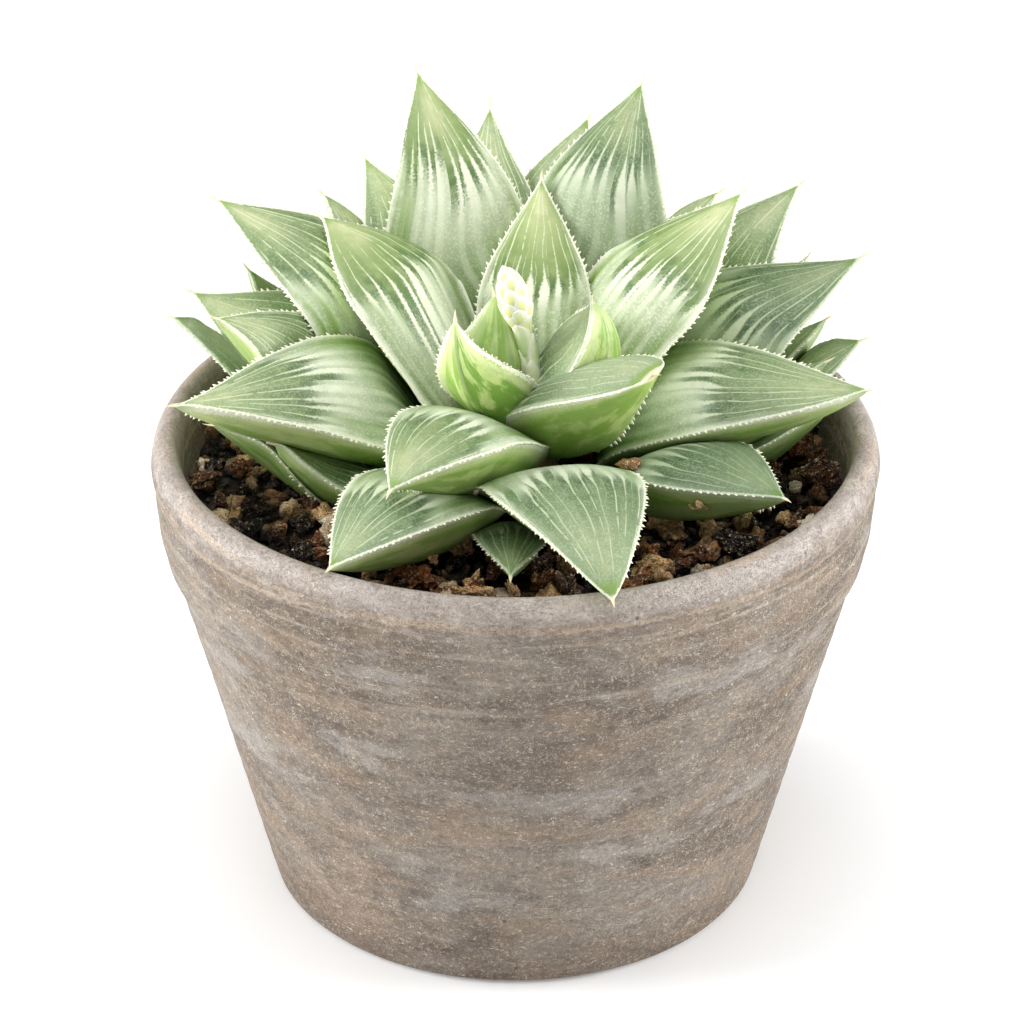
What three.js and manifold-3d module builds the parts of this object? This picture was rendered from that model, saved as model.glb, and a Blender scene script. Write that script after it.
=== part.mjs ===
// Potted haworthia: a toothed rosette with a young flower spike, in a stoneware pot.
// Millimetres, +Z up. The origin is the middle of the pot's base, on the ground.

import * as THREE from 'three';
import { mergeVertices } from 'three/addons/utils/BufferGeometryUtils.js';
import Module from 'manifold-3d';

const wasm = await Module();
wasm.setup();

// ---------------------------------------------------------------- driving sizes

const gap = 0.3; // between solids that touch on the real plant

const pot = {
  sides: 40,
  baseRadius: 34.6,
  coneTop: 50.5, // the wall is a plain cone up to here
  coneTopRadius: 47.3,
  rimRadius: 50,
  height: 69,
  mouthRadius: 45.3, // inside wall at soil height
  wall: 4,
  floor: 6,
  drainRadius: 5,
};

const soil = { top: 61, crown: 0.4, sides: 32, lumps: 116, smallest: 1.6, largest: 2.9 };
const stem = {
  radius: 6.2, shoulderRadius: 5.6, topRadius: 3.6,
  bottom: 50, shoulder: 66, top: 71.5, sides: 12,
};

const spike = {
  foot: [2.2, -1.4, 71.8],
  neck: [1.9, -2.4, 84],
  tip: [-1.3, -2.6, 96],
  stalkRadius: 1.7,
  headRadius: 2.4,
  headFrom: 0.4, // share of the spike's length where the head begins
  sides: 8,
  stations: 10,
  scaleRows: 4,
  scalesPerRow: 5,
  scaleLength: 3.4,
  scaleWidth: 2.9,
  bracts: 4,
};

const tooth = { length: 0.6, forward: 0.36, halfBase: 0.22 };
const bristle = 2.2;
const frontLeaves = 17; // the first leaves of the list are made finer than the rest

// Every leaf springs from the stem at a root point and ends in a tip point. Directions are in
// degrees anticlockwise from +X. "rise" and "end" are the pitch above the horizontal at the
// root and at the tip. "foot" is the width at the root as a share of the widest place, "widest"
// is where that place lies along the leaf, and "taper" sharpens the tip. "roll" turns the upper
// face about the leaf's length, and "sweep" bends the leaf sideways.
const whorls = {
  heart: {
    rootHeight: 72, rootReach: 2, rise: 80, end: 90,
    width: 12, thick: 6, widest: 0.5, foot: 0.8, taper: 1,
  },
  inner: {
    rootHeight: 71, rootReach: 4, rise: 60, end: 60,
    width: 15, thick: 8, widest: 0.45, foot: 0.8, taper: 1.2,
  },
  middle: {
    rootHeight: 68, rootReach: 5, rise: 70, end: 40,
    width: 19, thick: 7.5, widest: 0.5, foot: 0.8, taper: 1.2,
  },
  outer: {
    rootHeight: 66, rootReach: 8, rise: 45, end: 25,
    width: 18, thick: 8, widest: 0.45, foot: 0.75, taper: 1.15,
  },
  skirt: {
    rootHeight: 63, rootReach: 11, rise: 12, end: 15,
    width: 15, thick: 7.5, widest: 0.45, foot: 0.7, taper: 1.1,
  },
};

// From the heart outwards: whorl, direction, reach and height of the tip, and what differs from
// the whorl. The haworthia's heart leaves curl over the spike, and the skirt lies near the soil.
const leaves = [
  ['inner', -121, 15.5, 91.5, {
    width: 11, thick: 5, rise: 45, end: 90, taper: 1, roll: 28,
    rootAim: -30, rootReach: 0.5, rootHeight: 72, widest: 0.4,
  }],
  ['heart', -13, 10.5, 89, { width: 14, thick: 8, roll: 20, rootAim: 20 }],
  ['heart', 170, 3, 88.5, { rise: 85, end: 110, rootReach: 4.5, rootAim: 150, width: 13 }],
  ['inner', -42, 24.5, 85, {
    width: 14, thick: 10, rise: 45, end: 20, taper: 0.3, widest: 0.6,
    rootAim: -155, rootReach: 2, roll: 5,
  }],
  ['inner', 80, 21, 97, { rise: 75, width: 15.5, thick: 6, rootAim: 60, widest: 0.4 }],
  ['middle', -117, 36, 76, {
    rise: 45, end: -30, width: 15.5, thick: 10, taper: 1, rootHeight: 70,
    rootAim: -92, rootReach: 6, roll: -5,
  }],
  ['middle', 28, 35.5, 96.5, { end: 35, width: 18, rootAim: 0, rootReach: 6, roll: 15 }],
  ['middle', 146, 32.5, 92, { end: 15, width: 20, thick: 8, rootAim: 170, widest: 0.55 }],
  ['middle', 59, 34.5, 107.5, { rise: 75, rootAim: 45, rootReach: 6, widest: 0.55 }],
  ['middle', 113, 35.5, 108, { rise: 75, end: 45, width: 18.5, rootAim: 115, roll: -5 }],
  ['outer', -76, 51, 69.8, {
    rise: 28, end: -45, width: 20.5, taper: 0.8, rootAim: -68, rootReach: 9,
    widest: 0.4, sweep: 5,
  }],
  ['outer', -13, 48.5, 80, {
    rise: 60, end: 15, width: 20, roll: 18, rootAim: 14, rootReach: 12,
    widest: 0.25, taper: 1.05,
  }],
  ['outer', -159, 48.5, 81, {
    rise: 58, end: 8, width: 20.5, thick: 10, roll: -26, rootAim: 165,
    rootReach: 11, widest: 0.25, taper: 1.4,
  }],
  ['outer', -120, 48, 69.8, {
    rise: 30, end: -8, width: 19, thick: 9, rootAim: -125, rootReach: 9,
    rootHeight: 64, widest: 0.35, taper: 1.05,
  }],
  ['outer', -35, 43.5, 71, {
    rise: 40, end: 0, width: 18.5, thick: 9.5, rootAim: -20, rootReach: 6,
    rootHeight: 64.5, widest: 0.55, sweep: -8,
  }],
  ['middle', 17, 50, 87.5, {
    rise: 50, end: 20, width: 20, rootAim: 20, rootHeight: 65.5, roll: 20,
    sweep: 5,
  }],
  ['middle', 151, 48, 92.5, {
    rise: 65, end: 18, rootAim: 145, rootReach: 4, rootHeight: 65.5, roll: -25,
    widest: 0.45,
  }],
  ['outer', -178, 40.5, 86, { rise: 35, thick: 9, roll: -18, rootAim: 165, sweep: 15 }],
  ['outer', 95, 41, 99, { rise: 55, end: 45, width: 17, sweep: -9 }],
  ['outer', 75, 40.5, 98, { rise: 55, end: 40, width: 20.5, sweep: -14, roll: 8 }],
  ['outer', 60, 39.5, 95, { rise: 50, end: 60, width: 15.5 }],
  ['outer', 44, 40, 91.5, { rise: 50, end: 20, width: 16, sweep: -7, roll: 6 }],
  ['outer', 31, 46.5, 94.5, { rise: 42, end: 34, width: 18.5, roll: 16 }],
  ['outer', 123, 39.5, 94.5, { rise: 50, end: 32, width: 17, roll: -5 }],
  ['outer', 135, 38.5, 91.5, { end: 28, width: 14.5, sweep: 5 }],
  ['outer', 157, 49.5, 80, { rise: 38, end: 20, width: 16, roll: -25, widest: 0.6, taper: 1.3 }],
  ['skirt', 168, 48.5, 80.5, { rise: 25, width: 17, roll: -18 }],
  ['skirt', 28, 46, 84, { rise: 25, end: 35, width: 14 }],
  ['skirt', 2, 42.5, 78, { rise: 20, end: 25, width: 12 }],
  ['skirt', 21, 46.5, 77, { rise: 20, end: 30, width: 12 }],
  ['skirt', 14, 49.5, 76, { rise: 25, end: 18, width: 19, roll: 20, taper: 1 }],
  ['skirt', 4, 44, 71, { end: 20, width: 16 }],
  ['skirt', -163, 33.5, 72, { end: 45, roll: -8, rootAim: -135, sweep: 20 }],
  ['skirt', -172, 41.5, 72, { end: 5, width: 14 }],
  ['skirt', -91, 37, 66, { rise: 5, end: -5, width: 10, thick: 5 }],
  ['skirt', 149, 44, 82, { rise: 20, end: 40, width: 13 }],
  ['skirt', 48, 44, 80, { end: 28 }],
  ['skirt', 70, 45, 79, { end: 25, width: 16 }],
  ['skirt', 93, 46, 79, { end: 25, width: 16 }],
  ['skirt', 116, 45, 78, { end: 25, width: 16 }],
  ['skirt', 138, 45, 77, { end: 25, width: 14 }],
].map(([whorl, aim, reach, height, own]) => ({
  sweep: 0, roll: 0, rootAim: aim, ...whorls[whorl], whorl, aim, reach, height, ...own,
}));

// ---------------------------------------------------------------- solids

const rad = THREE.MathUtils.degToRad;
const { sin, cos, pow, abs, max, min, PI } = Math;
const clamp01 = (x) => max(0, min(1, x));

// A seeded generator, so that every build gives the same plant.
let seed = 20231;
function random(low = 0, high = 1) {
  seed = (seed * 1664525 + 1013904223) >>> 0;
  return low + (high - low) * (seed / 4294967296);
}

// Turns a closed geometry into a solid, with its faces turned outward.
function solid(geometry) {
  const bare = geometry.clone();
  bare.deleteAttribute('normal');
  bare.deleteAttribute('uv');
  const merged = mergeVertices(bare, 1e-4);
  const points = merged.attributes.position.array;
  const triangles = [];
  const corners = merged.index.array;
  let volume = 0;
  for (let i = 0; i < corners.length; i += 3) {
    const [a, b, c] = [corners[i], corners[i + 1], corners[i + 2]];
    if (a === b || b === c || c === a) continue;
    triangles.push(a, b, c);
    const [p, q, r] = [a, b, c].map((k) => new THREE.Vector3().fromArray(points, 3 * k));
    volume += p.dot(q.cross(r));
  }
  if (volume < 0) triangles.reverse();
  return new wasm.Manifold(new wasm.Mesh({
    numProp: 3,
    vertProperties: new Float32Array(points),
    triVerts: new Uint32Array(triangles),
  }));
}

function geometryOf(points, faces) {
  const geometry = new THREE.BufferGeometry();
  geometry.setAttribute('position', new THREE.Float32BufferAttribute(points, 3));
  geometry.setIndex(faces);
  return geometry;
}

function lathe(profile, sides) {
  const points = profile.map(([radius, height]) => new THREE.Vector2(radius, height));
  return solid(new THREE.LatheGeometry(points, sides).rotateX(PI / 2));
}

function largestBody(shape) {
  return shape.decompose().reduce((best, body) => (body.volume() > best.volume() ? body : best));
}

const plant = new THREE.Group();

function addPiece(name, shape, colour, roughness) {
  const mesh = shape.getMesh();
  const geometry = new THREE.BufferGeometry();
  geometry.setAttribute('position', new THREE.BufferAttribute(new Float32Array(mesh.vertProperties), 3));
  geometry.setIndex(new THREE.BufferAttribute(new Uint32Array(mesh.triVerts), 1));
  geometry.computeVertexNormals();
  const material = new THREE.MeshStandardMaterial({ color: colour, roughness, metalness: 0 });
  const piece = new THREE.Mesh(geometry, material);
  piece.name = name;
  plant.add(piece);
}

// ---------------------------------------------------------------- pot

// Outside from the drain hole up to the lip, over it, and down the inside wall.
function potProfile(grow = 0) {
  const { baseRadius, coneTop, coneTopRadius, rimRadius, height, mouthRadius, wall, floor } = pot;
  const outside = [
    [baseRadius - 1.2, 0], [baseRadius - 0.2, 0.5], [baseRadius + 0.2, 1.6],
    [coneTopRadius, coneTop], [rimRadius - 1.6, coneTop + 1.6], [rimRadius - 0.5, coneTop + 6],
    [rimRadius, coneTop + 10.5], [rimRadius, height - 4], [rimRadius - 0.4, height - 1.8],
    [rimRadius - 1.4, height - 0.4], [rimRadius - 2.4, height],
  ];
  const inside = [
    [mouthRadius + 1.4, height - 0.4], [mouthRadius + 0.9, height - 1.6],
    [mouthRadius + 0.4, height - 4.5], [mouthRadius, soil.top],
    [coneTopRadius - wall, coneTop], [baseRadius - wall + 1.4, floor + 3], [baseRadius - wall, floor],
  ];
  return [
    ...outside.map(([r, z]) => [r + grow, z + grow]),
    ...inside.map(([r, z]) => [r - grow, z + grow]),
  ];
}

const potShape = lathe(
  [[pot.drainRadius, 0], ...potProfile(), [pot.drainRadius, pot.floor], [pot.drainRadius, 0]],
  pot.sides,
);

// ---------------------------------------------------------------- stem and flower spike

function stemSolid(grow) {
  return lathe([
    [0, stem.bottom - grow], [stem.radius + grow, stem.bottom - grow],
    [stem.radius + grow, soil.top + 1], [stem.shoulderRadius + grow, stem.shoulder],
    [stem.topRadius + grow, stem.top + grow], [0, stem.top + grow],
  ], stem.sides);
}

const stemShape = stemSolid(0);
const stemSpace = stemSolid(gap);

// One pointed scale: a flat-bottomed almond that leans on the stalk, its root sunk well in.
function scaleSolid(place, outward, along, length, width, lift) {
  const side = new THREE.Vector3().crossVectors(along, outward).normalize();
  const at = (forward, sideways, out) => place.clone()
    .addScaledVector(along, forward * length)
    .addScaledVector(side, sideways * width)
    .addScaledVector(outward, out);
  const rim = [at(0, -0.3, 0), at(0.45, -0.5, 0.1), at(1, 0, lift), at(0.45, 0.5, 0.1), at(0, 0.3, 0)];
  const crest = at(0.4, 0, lift + 0.35);
  const sunk = at(0.35, 0, -0.9);
  const points = [...rim, crest, sunk].flatMap((p) => p.toArray());
  const faces = rim.flatMap((_, i) => [i, (i + 1) % 5, 5, (i + 1) % 5, i, 6]);
  return solid(geometryOf(points, faces));
}

const spikeLine = new THREE.QuadraticBezierCurve3(
  ...[spike.foot, spike.neck, spike.tip].map((p) => new THREE.Vector3(...p)));

// The directions along the spike, to its side and to its front at share t of its length.
function spikeFrame(t) {
  const along = spikeLine.getTangent(t);
  const side = new THREE.Vector3().crossVectors(new THREE.Vector3(0, 1, 0), along).normalize();
  return { along, side, front: new THREE.Vector3().crossVectors(along, side) };
}

// The stalk thins upwards, then swells into an egg-shaped head.
function spikeRadius(t) {
  const stalk = spike.stalkRadius * (1 - 0.35 * clamp01(t / 0.5)) * clamp01((1 - t) / 0.2);
  const swell = sin(PI * clamp01((t - spike.headFrom) / (1.02 - spike.headFrom)));
  return max(stalk, spike.headRadius * pow(max(0, swell), 0.7), 0.15);
}

function spikeCore(grow) {
  const { sides, stations } = spike;
  const points = [];
  const faces = [];
  for (let i = 0; i <= stations; i += 1) {
    const t = i / stations;
    const centre = spikeLine.getPoint(t);
    const { side, front } = spikeFrame(t);
    const radius = spikeRadius(t) + grow;
    for (let j = 0; j < sides; j += 1) {
      const turn = (2 * PI * j) / sides;
      points.push(...centre.clone()
        .addScaledVector(side, cos(turn) * radius)
        .addScaledVector(front, sin(turn) * radius).toArray());
      const k = (j + 1) % sides;
      if (i < stations) {
        const [a, b, c, d] = [i * sides + j, i * sides + k, (i + 1) * sides + k, (i + 1) * sides + j];
        faces.push(a, b, c, a, c, d);
      }
    }
  }
  const foot = points.length / 3;
  const peak = foot + 1;
  const last = stations * sides;
  points.push(...spikeLine.getPoint(0).toArray());
  points.push(...spikeLine.getPoint(1).addScaledVector(spikeLine.getTangent(1), 0.3 + grow).toArray());
  for (let j = 0; j < sides; j += 1) {
    const k = (j + 1) % sides;
    faces.push(k, j, foot, last + j, last + k, peak);
  }
  return solid(geometryOf(points, faces));
}

function spikeSolid() {
  let shape = spikeCore(0);
  const addScale = (t, turn, length, width, lift) => {
    const { along, side, front } = spikeFrame(t);
    const outward = side.multiplyScalar(cos(turn)).addScaledVector(front, sin(turn));
    const place = spikeLine.getPoint(t).addScaledVector(outward, spikeRadius(t) * 0.9);
    shape = shape.add(scaleSolid(place, outward, along, length, width, lift));
  };
  // the scales of the head overlap like roof tiles, each row turned by half a scale
  const { scaleRows, scalesPerRow, scaleLength, scaleWidth } = spike;
  for (let row = 0; row < scaleRows; row += 1) {
    const t = 0.48 + (0.4 * row) / (scaleRows - 1);
    const size = 1 - (0.4 * row) / scaleRows;
    for (let n = 0; n < scalesPerRow; n += 1) {
      const turn = (2 * PI * (n + 0.5 * (row % 2))) / scalesPerRow;
      addScale(t, turn, scaleLength * size, scaleWidth * size, 0.35 - 0.25 * size);
    }
  }
  // longer pointed bracts climb the stalk in a spiral
  for (let n = 0; n < spike.bracts; n += 1) {
    addScale(0.14 + 0.08 * n, -1.2 + 2.4 * n, 5, 2.8, 0.1);
  }
  return shape;
}

const spikeShape = spikeSolid();
const spikeSpace = spikeCore(0.8); // roomy enough for the scales

// ---------------------------------------------------------------- leaves

// Shares of the length and of the width where a leaf has its corners. A space is the room
// that a leaf keeps clear of the leaves laid after it.
const fine = {
  stations: [0, 0.17, 0.34, 0.51, 0.67, 0.81, 0.93, 1],
  over: [-1, -0.5, 0, 0.5, 1],
  grow: 0,
};
const coarse = { stations: [0, 0.2, 0.45, 0.7, 0.88, 1], over: [-1, 0, 1], grow: 0 };
const space = { over: [-1, 0, 1], grow: 0.5 };
const sectionSteps = 100; // the curve is measured in this many steps

// Where the middle line of a leaf runs: a curve from its root to its tip.
function midline(leaf) {
  const at = (aim, reach, height) => (
    new THREE.Vector3(reach * cos(rad(aim)), reach * sin(rad(aim)), height));
  const root = at(leaf.rootAim, leaf.rootReach, leaf.rootHeight);
  const tip = at(leaf.aim, leaf.reach, leaf.height);
  const chord = tip.clone().sub(root);
  const heading = Math.atan2(chord.y, chord.x);
  const headings = [heading - rad(leaf.sweep), heading + rad(leaf.sweep)];
  const pull = 0.36 * chord.length();
  const [leave, arrive] = [leaf.rise, leaf.end].map((pitch, i) => new THREE.Vector3(
    cos(rad(pitch)) * cos(headings[i]), cos(rad(pitch)) * sin(headings[i]), sin(rad(pitch))));
  const curve = new THREE.CubicBezierCurve3(
    root, root.clone().addScaledVector(leave, pull), tip.clone().addScaledVector(arrive, -pull), tip);
  return { curve, headings };
}

// Half the width of a leaf at share s of its length.
function halfWidth(leaf, s) {
  const rising = leaf.foot + (1 - leaf.foot) * sin((PI / 2) * clamp01(s / leaf.widest));
  const falling = pow(max(0, cos((PI / 2) * clamp01((s - leaf.widest) / (1 - leaf.widest)))), leaf.taper);
  return (leaf.width / 2) * (s < leaf.widest ? rising : falling);
}

// Depth of the keel below the upper face at share s.
function keelDepth(leaf, s) {
  return leaf.thick * (0.7 + 0.3 * sin((PI / 2) * clamp01(s / 0.4)))
    * pow(max(0, cos((PI / 2) * clamp01((s - 0.45) / 0.55))), 0.9);
}

// A section runs over the upper face from margin to margin and back under the keel.
// Every margin segment past the root carries one tooth, a small blade pointing out and forward.
// With a grow the shape is the plain space that a leaf and its teeth take up.
function leafSolid(leaf, { stations, over, grow }) {
  const { curve, headings } = midline(leaf);
  const lengths = curve.getLengths(sectionSteps);
  const points = [];
  const faces = [];
  const frames = [];
  const addPoint = (p) => points.push(...p.toArray()) / 3 - 1;
  const rings = stations.map((t) => {
    const s = lengths[Math.round(t * sectionSteps)] / lengths[sectionSteps];
    const centre = curve.getPoint(t);
    const along = curve.getTangent(t);
    const heading = headings[0] * (1 - t) + headings[1] * t;
    const level = new THREE.Vector3(-sin(heading), cos(heading), 0);
    level.addScaledVector(along, -level.dot(along)).normalize();
    const above = new THREE.Vector3().crossVectors(along, level);
    const turn = rad(leaf.roll);
    const across = level.clone().multiplyScalar(cos(turn)).addScaledVector(above, sin(turn));
    const normal = above.clone().multiplyScalar(cos(turn)).addScaledVector(level, -sin(turn));
    const half = max(halfWidth(leaf, s), 0.4) + grow * 2;
    const deep = max(keelDepth(leaf, s), 0.35);
    const bulge = (0.2 * half * sin((PI / 2) * clamp01(s / 0.5)) + 0.1) * (grow ? 1.5 : 1);
    const sharp = 1.35 + 0.9 * (1 - clamp01(s / 0.5));
    const at = (x, z) => centre.clone().addScaledVector(across, x * half).addScaledVector(normal, z);
    frames.push({ along, across });
    return [
      ...over.map((u) => at(u, bulge * (1 - u * u) + (abs(u) < 1 ? grow : 0))),
      ...[0.5, 0, -0.5].map((u) => at(u, -deep * (1 - pow(abs(u), sharp)) - grow)),
    ].map(addPoint);
  });

  const corners = over.length + 3;
  const margin = over.length - 1;
  const toothAt = (i, j) => {
    const ends = [rings[i][j], rings[i + 1][j]].map((k) => new THREE.Vector3().fromArray(points, 3 * k));
    const share = tooth.halfBase / ends[0].distanceTo(ends[1]);
    const peak = ends[0].clone().lerp(ends[1], 0.5)
      .addScaledVector(frames[i].across, tooth.length * (j ? 1 : -1))
      .addScaledVector(frames[i].along, tooth.forward);
    const [near, far] = [0.5 - share, 0.5 + share].map((x) => ends[0].clone().lerp(ends[1], x));
    return [near, peak, far].map(addPoint);
  };
  for (let i = 0; i + 1 < rings.length; i += 1) {
    const toothed = grow === 0 && i > 0;
    const chains = {
      0: toothed ? toothAt(i, 0) : [],
      [margin]: toothed ? toothAt(i, margin) : [],
    };
    for (let j = 0; j < corners; j += 1) {
      const k = (j + 1) % corners;
      const [a, b, c, d] = [rings[i][j], rings[i][k], rings[i + 1][k], rings[i + 1][j]];
      const outline = k in chains
        ? [a, b, ...chains[k], c, d]
        : [b, c, d, ...(chains[j] ?? []).toReversed(), a];
      for (let n = 1; n + 1 < outline.length; n += 1) {
        faces.push(outline[0], outline[n], outline[n + 1]);
      }
    }
  }
  const foot = addPoint(curve.getPoint(0));
  const peak = addPoint(curve.getPoint(1).addScaledVector(curve.getTangent(1), bristle + grow));
  for (let j = 0; j < corners; j += 1) {
    const k = (j + 1) % corners;
    faces.push(foot, rings[0][k], rings[0][j], peak, rings.at(-1)[j], rings.at(-1)[k]);
  }
  return solid(geometryOf(points, faces));
}

// Leaves are laid from the heart outwards, and each gives way to those already there,
// to the stem, to the pot's lip and to the ground.
const inner = 20; // a radius well inside the pot's wall
const potSpace = lathe([[inner, -1], ...potProfile(gap), [inner, -1]], pot.sides);
const groundTop = soil.top + 0.9;
const groundRadius = pot.mouthRadius + 0.7;
const ground = lathe(
  [[0, stem.bottom], [groundRadius, stem.bottom], [groundRadius, groundTop], [0, groundTop]],
  soil.sides,
);

let taken = stemSpace.add(spikeSpace).add(potSpace).add(ground);
const leafSpaces = [];
const leafShapes = leaves.map((leaf, n) => {
  const detail = n < frontLeaves ? fine : coarse;
  const shape = largestBody(leafSolid(leaf, detail).subtract(taken));
  leafSpaces.push(leafSolid(leaf, { ...detail, ...space }));
  taken = taken.add(leafSpaces.at(-1));
  return shape;
});
const leafSpace = leafSpaces.reduce((whole, part) => whole.add(part));

// ---------------------------------------------------------------- soil

// A plug of compost that fills the pot, with bits of bark and pumice bedded in its top.
function soilSolid() {
  const { baseRadius, wall, floor, coneTop, coneTopRadius, mouthRadius } = pot;
  const clear = gap + 0.1; // the many-sided wall stands a little inside its round outline
  let shape = lathe([
    [0, floor + gap], [baseRadius - wall - clear, floor + gap],
    [baseRadius - wall + 1.2 - clear, floor + 3], [coneTopRadius - wall - clear, coneTop],
    [mouthRadius - clear, soil.top], [0, soil.top + soil.crown],
  ], soil.sides).subtract(stemSpace);
  for (let n = 0; n < soil.lumps; n += 1) {
    const size = random(soil.smallest, soil.largest);
    const reach = Math.sqrt(random(0.06, 1)) * (mouthRadius - gap - 0.4 - size);
    const turn = random(0, 2 * PI);
    const lump = new THREE.OctahedronGeometry(size, 0)
      .scale(random(0.75, 1), random(0.75, 1), random(0.6, 0.85))
      .rotateX(random(-0.6, 0.6)).rotateZ(random(0, PI))
      .translate(reach * cos(turn), reach * sin(turn), soil.top + random(0.05, 0.35) * size);
    const grain = solid(lump);
    if (grain.intersect(leafSpace).isEmpty()) shape = shape.add(grain.subtract(stemSpace));
  }
  return largestBody(shape);
}

// ---------------------------------------------------------------- the scene graph

addPiece('pot', potShape, 0x968a7e, 0.85);
addPiece('soil', soilSolid(), 0x3c2416, 0.95);
addPiece('stem', stemShape, 0x9a8f63, 0.8);
addPiece('flower_spike', spikeShape, 0xe6e6b4, 0.6);
leafShapes.forEach((shape, n) => {
  const number = String(n + 1).padStart(2, '0');
  addPiece(`leaf_${number}`, shape, leaves[n].whorl === 'skirt' ? 0x5f7f5c : 0x8fa97a, 0.55);
});

export default plant;
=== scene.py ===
# %% [markdown]
# # A potted haworthia
# The plant is a rosette of thick, toothed leaves with pale veins, and a young flower spike in
# its heart. It grows in a gritty mix of bark and pumice in a matt stoneware pot.
# A packed model gives the frame: every solid in its right place, plain and faceted. This lesson
# dresses that frame. It loads the model, works out finer surfaces in the same places with numpy,
# and gives each of them a finish made of shader nodes.

# %% Load the frame
import math
from types import SimpleNamespace

import bmesh
import bpy
import numpy as np
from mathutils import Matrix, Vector


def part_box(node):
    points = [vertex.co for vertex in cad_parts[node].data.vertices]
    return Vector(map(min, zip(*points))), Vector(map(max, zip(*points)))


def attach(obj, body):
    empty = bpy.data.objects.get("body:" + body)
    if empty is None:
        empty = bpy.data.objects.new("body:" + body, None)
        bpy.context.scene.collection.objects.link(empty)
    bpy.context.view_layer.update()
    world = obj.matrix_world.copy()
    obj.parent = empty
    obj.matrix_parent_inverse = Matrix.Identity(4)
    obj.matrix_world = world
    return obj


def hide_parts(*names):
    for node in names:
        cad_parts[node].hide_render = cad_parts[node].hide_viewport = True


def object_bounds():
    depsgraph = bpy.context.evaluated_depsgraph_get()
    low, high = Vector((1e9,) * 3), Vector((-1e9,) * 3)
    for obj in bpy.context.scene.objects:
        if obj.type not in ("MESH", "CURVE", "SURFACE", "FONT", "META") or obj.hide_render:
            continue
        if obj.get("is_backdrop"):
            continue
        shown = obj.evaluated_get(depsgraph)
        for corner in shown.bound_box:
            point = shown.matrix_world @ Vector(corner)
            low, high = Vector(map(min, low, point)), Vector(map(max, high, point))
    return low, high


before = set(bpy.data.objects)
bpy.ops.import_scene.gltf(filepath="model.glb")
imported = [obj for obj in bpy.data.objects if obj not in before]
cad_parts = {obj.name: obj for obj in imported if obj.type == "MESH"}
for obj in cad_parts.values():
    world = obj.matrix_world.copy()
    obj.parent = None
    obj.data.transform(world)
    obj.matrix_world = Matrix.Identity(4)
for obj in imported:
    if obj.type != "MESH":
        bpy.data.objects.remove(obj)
cad_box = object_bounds()
scene = bpy.context.scene
print("solids in the frame:", len(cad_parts))

# %% [markdown]
# ## Lengths, colours and curves
# Blender measures in metres, but a leaf is easier to think of in millimetres. All the shapes
# below are worked out in millimetres and made smaller once, when they become a mesh.
# Colours are given as a painter reads them from a screen, from 0 to 255, and turned into the
# linear values that light needs. Each random draw has its own seeded generator, so the plant
# comes out the same every time.

# %% Lengths and colours
MM = 0.001


def paint(red, green, blue):
    """Linear colour of a screen colour: each share is raised to the power 2.2, near enough."""
    return tuple((c / 255) ** 2.2 for c in (red, green, blue)) + (1.0,)


def palette(**shades):
    """Linear colours by name."""
    return {name: paint(*shade) for name, shade in shades.items()}


print("one millimetre is", MM, "m, and a mid grey is", round(paint(128, 128, 128)[0], 3))

# %% Curves
GOLDEN_ANGLE = np.pi * (3 - np.sqrt(5))


def smooth(x, start, end):
    """0 before start, 1 after end, and between them the curve 3t squared minus 2t cubed."""
    t = np.clip((x - start) / (end - start), 0, 1)
    return t * t * (3 - 2 * t)


def unit(vectors):
    """Vectors divided by their own length, along the last axis."""
    return vectors / np.maximum(np.linalg.norm(vectors, axis=-1, keepdims=True), 1e-9)


def circle(count):
    """Even angles once round, the last one a step short of the first."""
    return np.linspace(0, 2 * np.pi, count, endpoint=False)


def turned(radius, height, angles):
    """Rings round Z: the radius times the cosine and the sine of each angle, at the height."""
    return np.stack(np.broadcast_arrays(
        radius * np.cos(angles), radius * np.sin(angles), height), -1)


def evened(values, reach, closed=False):
    """Moving average down the first axis, over reach values to either side. A closed line goes
    on at its other end, an open one holds its end values."""
    sides = [(reach, reach)] + [(0, 0)] * (values.ndim - 1)
    padded = np.pad(values, sides, mode="wrap" if closed else "edge")
    window = 2 * reach + 1
    return sum(padded[n:n + len(values)] for n in range(window)) / window


print("the golden angle is", round(math.degrees(GOLDEN_ANGLE), 1), "degrees")

# %% [markdown]
# ## Noise for shapes
# Thrown clay, soil and leaves are never quite even. A small noise function gives that: a random
# number sits at each corner of a cubic lattice, and between corners the numbers blend smoothly.
# It works on a whole array of points at once, which is far quicker than a loop over points.

# %% Noise for shapes
def lattice_noise(points, seed=0):
    """Smooth noise from -1 to 1: random corner values of a unit lattice, blended in each cell."""
    base = np.floor(points).astype(np.int64)
    share = points - base
    share = share * share * (3 - 2 * share)
    total = np.zeros(points.shape[:-1])
    for corner in np.ndindex(2, 2, 2):
        cell = base + np.array(corner)
        mixed = cell[..., 0] * 73856093 ^ cell[..., 1] * 19349663 ^ cell[..., 2] * 83492791
        mixed = (mixed ^ seed * 40503) * 1274126177 & 0x7FFFFFFF
        mixed = (mixed ^ (mixed >> 15)) * 668265263 & 0x7FFFFFFF
        value = ((mixed ^ (mixed >> 13)) & 0xFFFF) / 0x7FFF - 1
        weight = np.prod(np.where(corner, share, 1 - share), axis=-1)
        total += value * weight
    return total


def layered_noise(points, seed=0, layers=3):
    """Noise added to itself, each layer twice as fine and half as strong as the last."""
    return sum(lattice_noise(points * 2**n, seed + n) / 2**n for n in range(layers))


probe = lattice_noise(np.random.default_rng(1).uniform(0, 50, (1000, 3)))
print("noise runs from", round(probe.min(), 2), "to", round(probe.max(), 2))

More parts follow.
